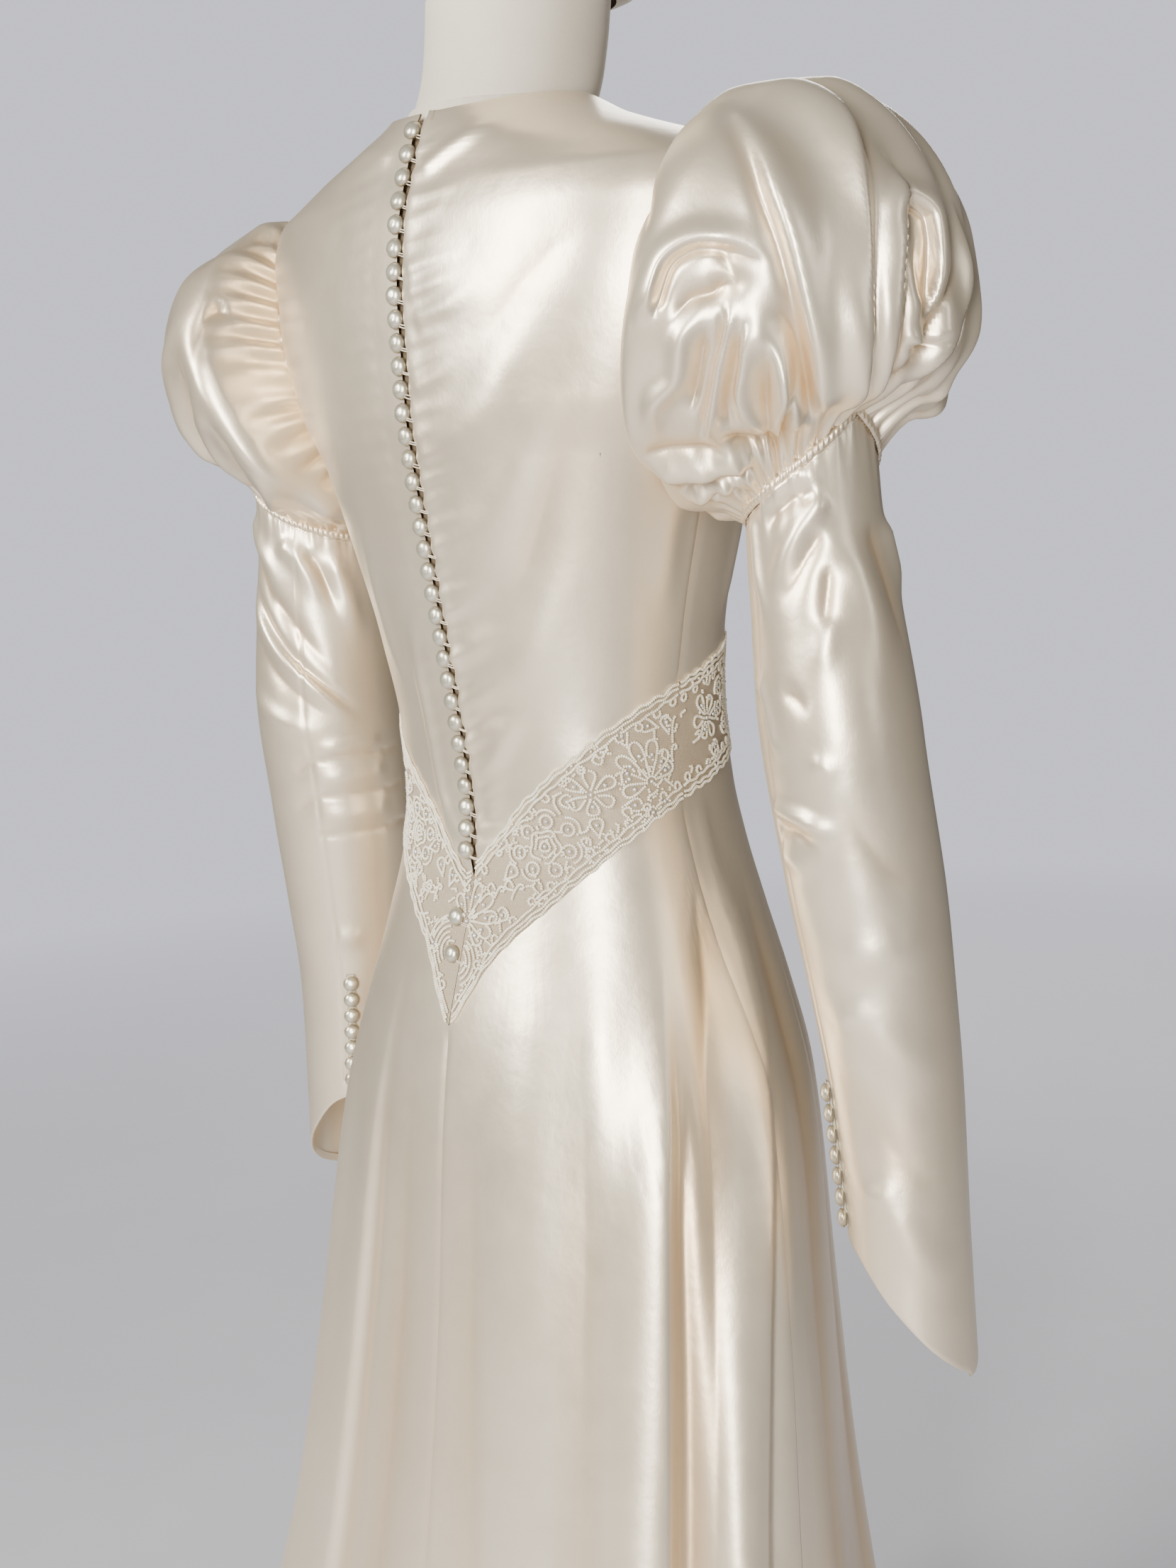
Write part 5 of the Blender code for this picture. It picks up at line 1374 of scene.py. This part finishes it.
thread_silk, nodes, links, shader = new_material("sewing_thread")
links.new(
    colour_ramp(
        nodes, links, noise(nodes, links, 500.0, 2.0),
        ((0.3, (0.66, 0.58, 0.46)), (0.7, (0.82, 0.76, 0.64)))
    ),
    shader.inputs["Base Color"],
)
shader.inputs["Roughness"].default_value = 0.5
links.new(bumped(nodes, links, noise(nodes, links, 3000.0, 1.0), 0.3, 0.0002), shader.inputs["Normal"])


def rod_shape(sides=5):
    """A short thread: two ends drawn in and a full middle, along X."""
    points = []
    for along, share in ((-1.0, 0.35), (-0.6, 0.9), (0.6, 0.9), (1.0, 0.35)):
        points += [
            (
                along, share * math.cos(2 * math.pi * n / sides),
                share * math.sin(2 * math.pi * n / sides)
            ) for n in range(sides)
        ]
    faces = []
    for ring in range(3):
        for n in range(sides):
            a, b = ring * sides + n, ring * sides + (n + 1) % sides
            faces += [(a, b, b + sides), (a, b + sides, a + sides)]
    return np.array(points), np.array(faces)


def stitches(name, start, finish, out, length=0.0011, thick=0.00020):
    """Hand stitches, each from a start point to a finish point, lying on the cloth."""
    points, faces = rod_shape()
    middle, along = (start + finish) / 2, finish - start
    along = along / np.linalg.norm(along, axis=1, keepdims=True)
    across = np.cross(out, along)
    world = (
        middle[:, None]
        + out[:, None] * 0.0001
        + along[:, None] * points[None, :, 0:1] * length
        + across[:, None] * points[None, :, 1:2] * thick
        + out[:, None] * points[None, :, 2:3] * thick
    )
    all_faces = faces[None] + (np.arange(len(middle)) * len(points))[:, None, None]
    piece = triangles(name, world.reshape(-1, 3), all_faces.reshape(-1, 3), thread_silk)
    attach(piece, "root")
    return piece


def seam_stitches(name, side):
    angle = -side * 360 * np.arange(112) / 112
    starts, ends, outs = [], [], []
    for drop, slant in ((-0.0047, 0.9), (0.0049, -0.9)):
        surface = sleeve_surface(side)
        left = surface(angle, seam_at(angle) + drop)
        right = surface(angle + side * 1.2, seam_at(angle) + drop + 0.0003 * slant)
        outward = surface(angle, seam_at(angle) + drop) - np.stack(
            [side * sleeve_out(seam_at(angle)), sleeve_back(seam_at(angle)), seam_at(angle) + drop], axis=-1
        )
        outward /= np.linalg.norm(outward, axis=1, keepdims=True)
        starts.append(left + outward * 0.0004)
        ends.append(right + outward * 0.0004)
        outs.append(outward)
    stitches(f"seam_stitches_{name}", np.concatenate(starts), np.concatenate(ends), np.concatenate(outs))


seam_stitches("right", -1)
seam_stitches("left", 1)

# Buttons: small wooden moulds covered with the same satin, thirty three down the bodice and two on
# the band, each held by a loop of fine cord that is sewn along the right back's edge. Seven smaller
# ones close each cuff's strip.

BUTTON_RADIUS, BUTTON_HEIGHT = 0.0062, 0.0047
BUTTON_SIDES = 26
BUTTON_OUTLINE = (
    (0.10, 1.00), (0.34, 0.965), (0.56, 0.87), (0.76, 0.71), (0.91, 0.50), (1.00, 0.28), (0.985, 0.12),
    (0.88, 0.0)
)
# The third colour is the painted shade at the buttons' rims.
covered = satin_material("button_satin", (0.70, 0.665, 0.53), (0.63, 0.595, 0.46), (0.34, 0.27, 0.17), 0.30)
cord_silk, nodes, links, shader = new_material("loop_cord")
links.new(
    colour_ramp(
        nodes, links, noise(nodes, links, 700.0, 2.0),
        ((0.3, (0.60, 0.50, 0.36)), (0.7, (0.78, 0.70, 0.56)))
    ),
    shader.inputs["Base Color"],
)
shader.inputs["Roughness"].default_value = 0.5
links.new(
    bumped(nodes, links, noise(nodes, links, 2500.0, 1.0, 0.5, (1, 3, 1)), 0.4, 0.0002),
    shader.inputs["Normal"]
)


def button_mesh(radius, height, seed):
    """A covered button: a low dome whose cover is drawn in under the rim in small pleats."""
    lots = np.random.default_rng(seed)
    sides = BUTTON_SIDES
    turned = 2 * math.pi * np.arange(sides) / sides + lots.uniform(0, 6.28)
    rings = []
    for reach, rise in BUTTON_OUTLINE:
        pleat = 1 + 0.018 * reach**6 * np.cos(9 * turned + lots.uniform(0, 6.28))
        lean = 0.03 * height * np.cos(turned + 1.0) * (1 - reach)
        rings.append(
            np.stack(
                [
                    radius * reach * pleat * np.cos(turned), radius * reach * pleat * np.sin(turned),
                    height * rise + lean
                ],
                axis=-1
            )
        )
    points = np.concatenate([np.array([[0, 0, height]]), *rings])
    faces = [(0, 1 + n, 1 + (n + 1) % sides) for n in range(sides)]
    for ring in range(len(BUTTON_OUTLINE) - 1):
        for n in range(sides):
            a, b = 1 + ring * sides + n, 1 + ring * sides + (n + 1) % sides
            faces += [(a, a + sides, b + sides), (a, b + sides, b)]
    return points, np.array(faces)


def painted_rim_shade(piece, count, before=0):
    """The depth layer of some buttons, deeper towards their rims, after points that have none. It paints
    shade onto the rims.
    """
    reach = np.repeat([reach for reach, rise in BUTTON_OUTLINE], BUTTON_SIDES)
    one = np.concatenate([[0.0], 0.9 * reach**4])
    layer = piece.data.attributes.new("depth", "FLOAT", "POINT")
    layer.data.foreach_set(
        "value", np.concatenate([np.zeros(before), np.tile(one, count)]).astype(np.float32)
    )


def placed(meshes, places):
    """Several meshes, each set at its own place, as one."""
    points, faces, count = [], [], 0
    for (own, sides), place in zip(meshes, places):
        spin = np.array(place.to_3x3())
        points.append(own @ spin.T + np.array(place.translation))
        faces.append(sides + count)
        count += len(own)
    return np.concatenate(points), np.concatenate(faces)


def button_place(node):
    """Where a built button sits: the middle of its flat back, with Z out through its crown."""
    spots = np.array([v.co for v in node.data.vertices])
    middle = spots.mean(0)
    strength, axes = np.linalg.eigh(np.cov((spots - middle).T))
    odd = 0 if strength[1] - strength[0] > strength[2] - strength[1] else 2
    out = axes[:, odd] * (1 if axes[1, odd] > 0 else -1)
    reach = (spots - middle) @ out
    base = middle + out * reach.min()
    return Matrix.Translation(base) @ Vector(out).to_track_quat("Z", "Y").to_matrix().to_4x4()


back_buttons = sorted(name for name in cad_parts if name.startswith("back_button"))
places = [button_place(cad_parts[name]) for name in back_buttons]
tilts = np.random.default_rng(17)
for n, place in enumerate(places):
    lean = Matrix.Rotation(math.radians(tilts.uniform(8, 17)), 4, "Z")
    nod = Matrix.Rotation(math.radians(tilts.uniform(-6, 6)), 4, "X")
    places[n] = Matrix.Translation(place.translation) @ lean @ nod @ place.to_3x3().to_4x4()
meshes = [button_mesh(BUTTON_RADIUS, BUTTON_HEIGHT, n) for n in range(len(places))]
buttons = triangles("covered_back_buttons", *placed(meshes, places), covered)
painted_rim_shade(buttons, len(places))
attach(buttons, "root")
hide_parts(*back_buttons)


def tube(path, radius, sides=6):
    """A round cord along a path of points."""
    path = np.array(path)
    along = np.gradient(path, axis=0)
    along /= np.linalg.norm(along, axis=1, keepdims=True)
    aside = np.cross(along, np.array([0.13, 0.2, 0.97]))
    aside /= np.maximum(np.linalg.norm(aside, axis=1, keepdims=True), 1e-9)
    over = np.cross(along, aside)
    turned = 2 * math.pi * np.arange(sides) / sides
    rings = path[:, None] + radius * (
        aside[:, None] * np.cos(turned)[None, :, None] + over[:, None] * np.sin(turned)[None, :, None]
    )
    faces = []
    for ring in range(len(path) - 1):
        for n in range(sides):
            a, b = ring * sides + n, ring * sides + (n + 1) % sides
            faces += [(a, b, b + sides), (a, b + sides, a + sides)]
    return rings.reshape(-1, 3), np.array(faces)


def loop_cords():
    """Each loop comes from under the right back's edge, passes round a button and goes back."""
    cords = []
    lots = np.random.default_rng(31)
    for place in places:
        x, y, z = place.translation
        out = np.array(place.to_3x3().col[2])
        for strand in (-1, 1):
            spread_out = lots.uniform(0.0011, 0.0016) * strand
            low = z - 0.0052 + lots.uniform(-0.0003, 0.0003)
            start = np.array([-0.0098, y - 0.0005, low - 0.0004 + spread_out * 0.5])
            rim = np.array([x - 0.0048, y + 0.0008, low + 0.0010 + spread_out * 0.5]) + out * 0.0007
            under = np.array([x - 0.0010, y, z - 0.0030 + spread_out * 0.4]) + out * 0.0006
            bend = (start + rim) / 2 + np.array([0, 0.0010, 0])
            cords.append(
                tube(
                    [
                        start, (start + bend) / 2 + np.array([0, 0.0003, 0]), bend, (bend + rim) / 2,
                        rim, under
                    ],
                    0.00042
                )
            )
    return cords


def edge_cord():
    """The cord that the loops are sewn to, along the inside of the right back's edge."""
    height = np.linspace(NECK_BACK - 0.003, band_foot(0) + 0.004, 320)
    inner = body_surface(panel_angle(-0.3, height, False, RIGHT_EDGE + 0.0006), height, -0.0014)
    inner[:, 0] += 0.00015 * np.sin(height * 2600)
    return tube(inner, 0.00075, 8)


cords = [*loop_cords(), edge_cord()]
loops = triangles("button_loops", *placed(cords, [Matrix.Identity(4)] * len(cords)), cord_silk)
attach(loops, "root")
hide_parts("loop_tape")

CUFF_BUTTON_HEIGHTS, CUFF_BUTTON_ANGLE = np.linspace(0.804, 0.723, 7), 135


def cuff_closing(name, side):
    """The strip that laps the cuff's opening, with its seven buttons, as one piece."""
    surface = sleeve_surface(side)
    height = np.linspace(0.7185, 0.8115, 60)[:, None]
    across = np.linspace(-1, 1, 15)[None]
    angle = CUFF_BUTTON_ANGLE - side * across * 4.9
    lift = 0.0002 + 0.0011 * (1 - np.abs(across) ** 6) + 0.0001 * np.sin(height * 1400 + across * 3)
    base = surface(angle, height + 0 * across)
    strip_points = base + facing(base) * lift[..., None]
    index = np.arange(60 * 15).reshape(60, 15)
    quads = np.stack([index[:-1, :-1], index[1:, :-1], index[1:, 1:], index[:-1, 1:]], axis=-1).reshape(-1, 4)
    strip_faces = np.concatenate([quads[:, [0, 1, 2]], quads[:, [0, 2, 3]]])
    spots = surface(np.full(7, CUFF_BUTTON_ANGLE), CUFF_BUTTON_HEIGHTS)
    outs = surface(np.full(7, CUFF_BUTTON_ANGLE), CUFF_BUTTON_HEIGHTS) - surface(
        np.full(7, CUFF_BUTTON_ANGLE + 180), CUFF_BUTTON_HEIGHTS
    )
    parts, where = [(strip_points.reshape(-1, 3), strip_faces)], [Matrix.Identity(4)]
    for n, (spot, out) in enumerate(zip(spots, outs)):
        out = Vector(out).normalized()
        seat = Matrix.Translation(
            Vector(spot) + out * 0.0013
        ) @ out.to_track_quat("Z", "Y").to_matrix().to_4x4()
        parts.append(button_mesh(BUTTON_RADIUS, BUTTON_HEIGHT, 50 + n))
        where.append(seat)
    piece = triangles(f"covered_cuff_buttons_{name}", *placed(parts, where), covered)
    painted_rim_shade(piece, 7, len(parts[0][0]))
    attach(piece, "root")
    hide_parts(f"cuff_buttons_{name}")


cuff_closing("right", -1)
cuff_closing("left", 1)

# Dress form: a padded torso, a neck and a plain egg shaped head in pale linen that is seamed down
# the middle. The torso's back below the neck is painted dark brown as painted shade in the slot
# between the backs. It stands on a steel pole and a round base.

linen, nodes, links, shader = new_material("form_linen")
place = nodes.new("ShaderNodeTexCoord")
weave = nodes.new("ShaderNodeTexChecker")
weave.inputs["Scale"].default_value = 900.0
links.new(place.outputs["Object"], weave.inputs["Vector"])
cloud = noise(nodes, links, 9.0, 4.0)
pale = colour_ramp(nodes, links, cloud, ((0.3, (0.64, 0.56, 0.44)), (0.7, (0.74, 0.67, 0.55))))
# Painted shade: the torso's back below 1.412 m is darkened to brown, standing in for the shadow in the slot
# between the backs.
level = nodes.new("ShaderNodeSeparateXYZ")
links.new(place.outputs["Object"], level.inputs["Vector"])
below = nodes.new("ShaderNodeMath")
below.operation = "LESS_THAN"
below.inputs[1].default_value = 1.412
links.new(level.outputs["Z"], below.inputs[0])
behind = nodes.new("ShaderNodeMath")
behind.operation = "GREATER_THAN"
behind.inputs[1].default_value = 0.02
links.new(level.outputs["Y"], behind.inputs[0])
painted_slot_shade = nodes.new("ShaderNodeMath")
painted_slot_shade.operation = "MULTIPLY"
links.new(below.outputs[0], painted_slot_shade.inputs[0])
links.new(behind.outputs[0], painted_slot_shade.inputs[1])
links.new(mixed(nodes, links, painted_slot_shade.outputs[0], pale, (0.26, 0.19, 0.115, 1.0)), shader.inputs["Base Color"])
slub = noise(nodes, links, 420.0, 3.0, 0.6, (1, 1, 4))
normal = bumped(nodes, links, slub, 0.25, 0.0008)
links.new(bumped(nodes, links, weave.outputs["Fac"], 0.15, 0.0003, normal), shader.inputs["Normal"])
shader.inputs["Roughness"].default_value = 0.86
shader.inputs["Sheen Weight"].default_value = 0.2

NECK = (
    (1.4283, 0.0600, 0.003, 0.0600),
    (1.4500, 0.0600, -0.006, 0.0600),
    (1.4750, 0.0605, -0.012, 0.0605),
    (1.5000, 0.0610, -0.016, 0.0610),
)
HEAD = (
    (1.5003, 0.050, -0.026, 0.066),
    (1.508, 0.059, -0.030, 0.082),
    (1.530, 0.066, -0.030, 0.093),
    (1.570, 0.072, -0.024, 0.100),
    (1.615, 0.076, -0.018, 0.101),
    (1.660, 0.075, -0.014, 0.098),
    (1.700, 0.066, -0.012, 0.086),
    (1.728, 0.048, -0.010, 0.064),
    (1.742, 0.026, -0.009, 0.036),
    (1.746, 0.0006, -0.008, 0.0008),
)


def covered_form(name, table, deep):
    """A round part of the form: height, half width, middle back and half depth at each level."""
    share = np.linspace(0, 1, deep)
    share = share + 0.5 * np.sin(math.pi * share) * share * (1 - share)
    height = table[0][0] + (table[-1][0] - table[0][0]) * np.clip(share, 0, 1)
    wide, middle, far = (curve(table, n)(height) for n in (1, 2, 3))
    turned = 2 * math.pi * np.arange(72) / 72
    seam = 1 - 0.006 * np.exp(-((np.abs(np.sin(turned)) / 0.05) ** 2))
    x = wide[:, None] * (np.sin(turned) * seam)[None]
    y = middle[:, None] + far[:, None] * (np.cos(turned) * seam)[None]
    points = np.stack([x, y, np.broadcast_to(height[:, None], x.shape)], axis=-1)
    piece = cloth(name, points, linen, True)
    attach(piece, "root")
    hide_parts(name.replace("linen_", "form_"))


covered_form("linen_neck", NECK, 24)
covered_form("linen_head", HEAD, 80)
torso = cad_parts["form_torso"]
torso.data.materials.clear()
torso.data.materials.append(linen)

steel, nodes, links, shader = new_material("stand_steel")
brushed = noise(nodes, links, 300.0, 2.0, 0.5, (1, 1, 12))
links.new(
    colour_ramp(nodes, links, brushed, ((0.3, (0.30, 0.30, 0.31)), (0.7, (0.38, 0.38, 0.39)))),
    shader.inputs["Base Color"]
)
links.new(bumped(nodes, links, brushed, 0.08, 0.0004), shader.inputs["Normal"])
shader.inputs["Metallic"].default_value = 0.9
shader.inputs["Roughness"].default_value = 0.38
for name in ("stand_pole", "stand_base"):
    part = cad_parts[name]
    part.data.materials.clear()
    part.data.materials.append(steel)

# Floor, light and camera: a pale grey room with one large soft light high on the left of the
# camera, a weaker one on its right, and a low one behind that keeps the far side open.

room = bpy.data.worlds.new("room")
room.use_nodes = True
nodes, links = room.node_tree.nodes, room.node_tree.links
nodes["Background"].inputs["Color"].default_value = (0.80, 0.78, 0.76, 1.0)
nodes["Background"].inputs["Strength"].default_value = 0.17
backdrop = nodes.new("ShaderNodeBackground")
backdrop.inputs["Color"].default_value = (0.61, 0.61, 0.68, 1.0)
backdrop.inputs["Strength"].default_value = 1.45
seen = nodes.new("ShaderNodeLightPath")
either = nodes.new("ShaderNodeMixShader")
links.new(seen.outputs["Is Camera Ray"], either.inputs[0])
links.new(nodes["Background"].outputs[0], either.inputs[1])
links.new(backdrop.outputs[0], either.inputs[2])
links.new(either.outputs[0], nodes["World Output"].inputs["Surface"])
bpy.context.scene.world = room

floor_paint, nodes, links, shader = new_material("floor_paint")
place = nodes.new("ShaderNodeTexCoord")
distance = nodes.new("ShaderNodeVectorMath")
distance.operation = "LENGTH"
links.new(place.outputs["Object"], distance.inputs[0])
fade = nodes.new("ShaderNodeMapRange")
fade.inputs["From Min"].default_value = 1.4
fade.inputs["From Max"].default_value = 4.0
fade.inputs["To Min"].default_value = 1.0
fade.inputs["To Max"].default_value = 0.0
links.new(distance.outputs["Value"], fade.inputs["Value"])
links.new(fade.outputs["Result"], shader.inputs["Alpha"])
links.new(
    colour_ramp(
        nodes, links, noise(nodes, links, 3.0, 3.0),
        ((0.3, (0.58, 0.58, 0.63)), (0.7, (0.61, 0.61, 0.66)))
    ),
    shader.inputs["Base Color"],
)
links.new(bumped(nodes, links, noise(nodes, links, 200.0, 2.0), 0.03, 0.001), shader.inputs["Normal"])
shader.inputs["Roughness"].default_value = 0.8
turned = 2 * math.pi * np.arange(96) / 96
floor_points = np.array([[0, 0, 0]] + [[4.2 * math.cos(t), 4.2 * math.sin(t), 0] for t in turned])
floor_faces = np.array([(0, 1 + n, 1 + (n + 1) % 96) for n in range(96)])
floor = triangles("floor", floor_points, floor_faces, floor_paint)


def soft_light(name, place, aim, wide, tall, power, colour):
    light = bpy.data.lights.new(name, "AREA")
    light.shape = "ELLIPSE"
    light.size = wide
    light.size_y = tall
    light.energy = power
    light.color = colour
    lamp = bpy.data.objects.new(name, light)
    lamp.location = place
    lamp.rotation_euler = (Vector(aim) - Vector(place)).to_track_quat("-Z", "Y").to_euler()
    bpy.context.scene.collection.objects.link(lamp)


soft_light("key", (0.90, 2.9, 2.3), (0, 0, 1.2), 0.9, 1.7, 135, (1.0, 0.98, 0.95))
soft_light("side_key", (-1.5, 2.7, 1.5), (0, 0, 1.0), 0.5, 2.3, 135, (1.0, 0.98, 0.95))
soft_light("fill", (-3.0, 0.2, 1.9), (0, 0, 1.0), 0.5, 2.0, 8, (0.98, 0.98, 1.0))
soft_light("far_side", (1.6, -2.8, 2.2), (0, 0, 1.0), 1.4, 2.2, 70, (1.0, 0.98, 0.96))

eye = Vector((-0.881, 0.8981, 1.201))
right = Vector((-0.7333, -0.6771, -0.0616)).normalized()
forward = Vector((0.6759, -0.7163, -0.1733)).normalized()
over = right.cross(forward).normalized()
camera = bpy.data.cameras.new("camera")
camera.sensor_fit = "AUTO"
camera.sensor_width = 36
camera.lens = 42.07
camera.clip_start = 0.05
viewer = bpy.data.objects.new("camera", camera)
turned_to = Matrix((right, over, -forward)).transposed()
viewer.matrix_world = Matrix.Translation(eye) @ turned_to.to_4x4()
bpy.context.scene.collection.objects.link(viewer)
bpy.context.scene.camera = viewer
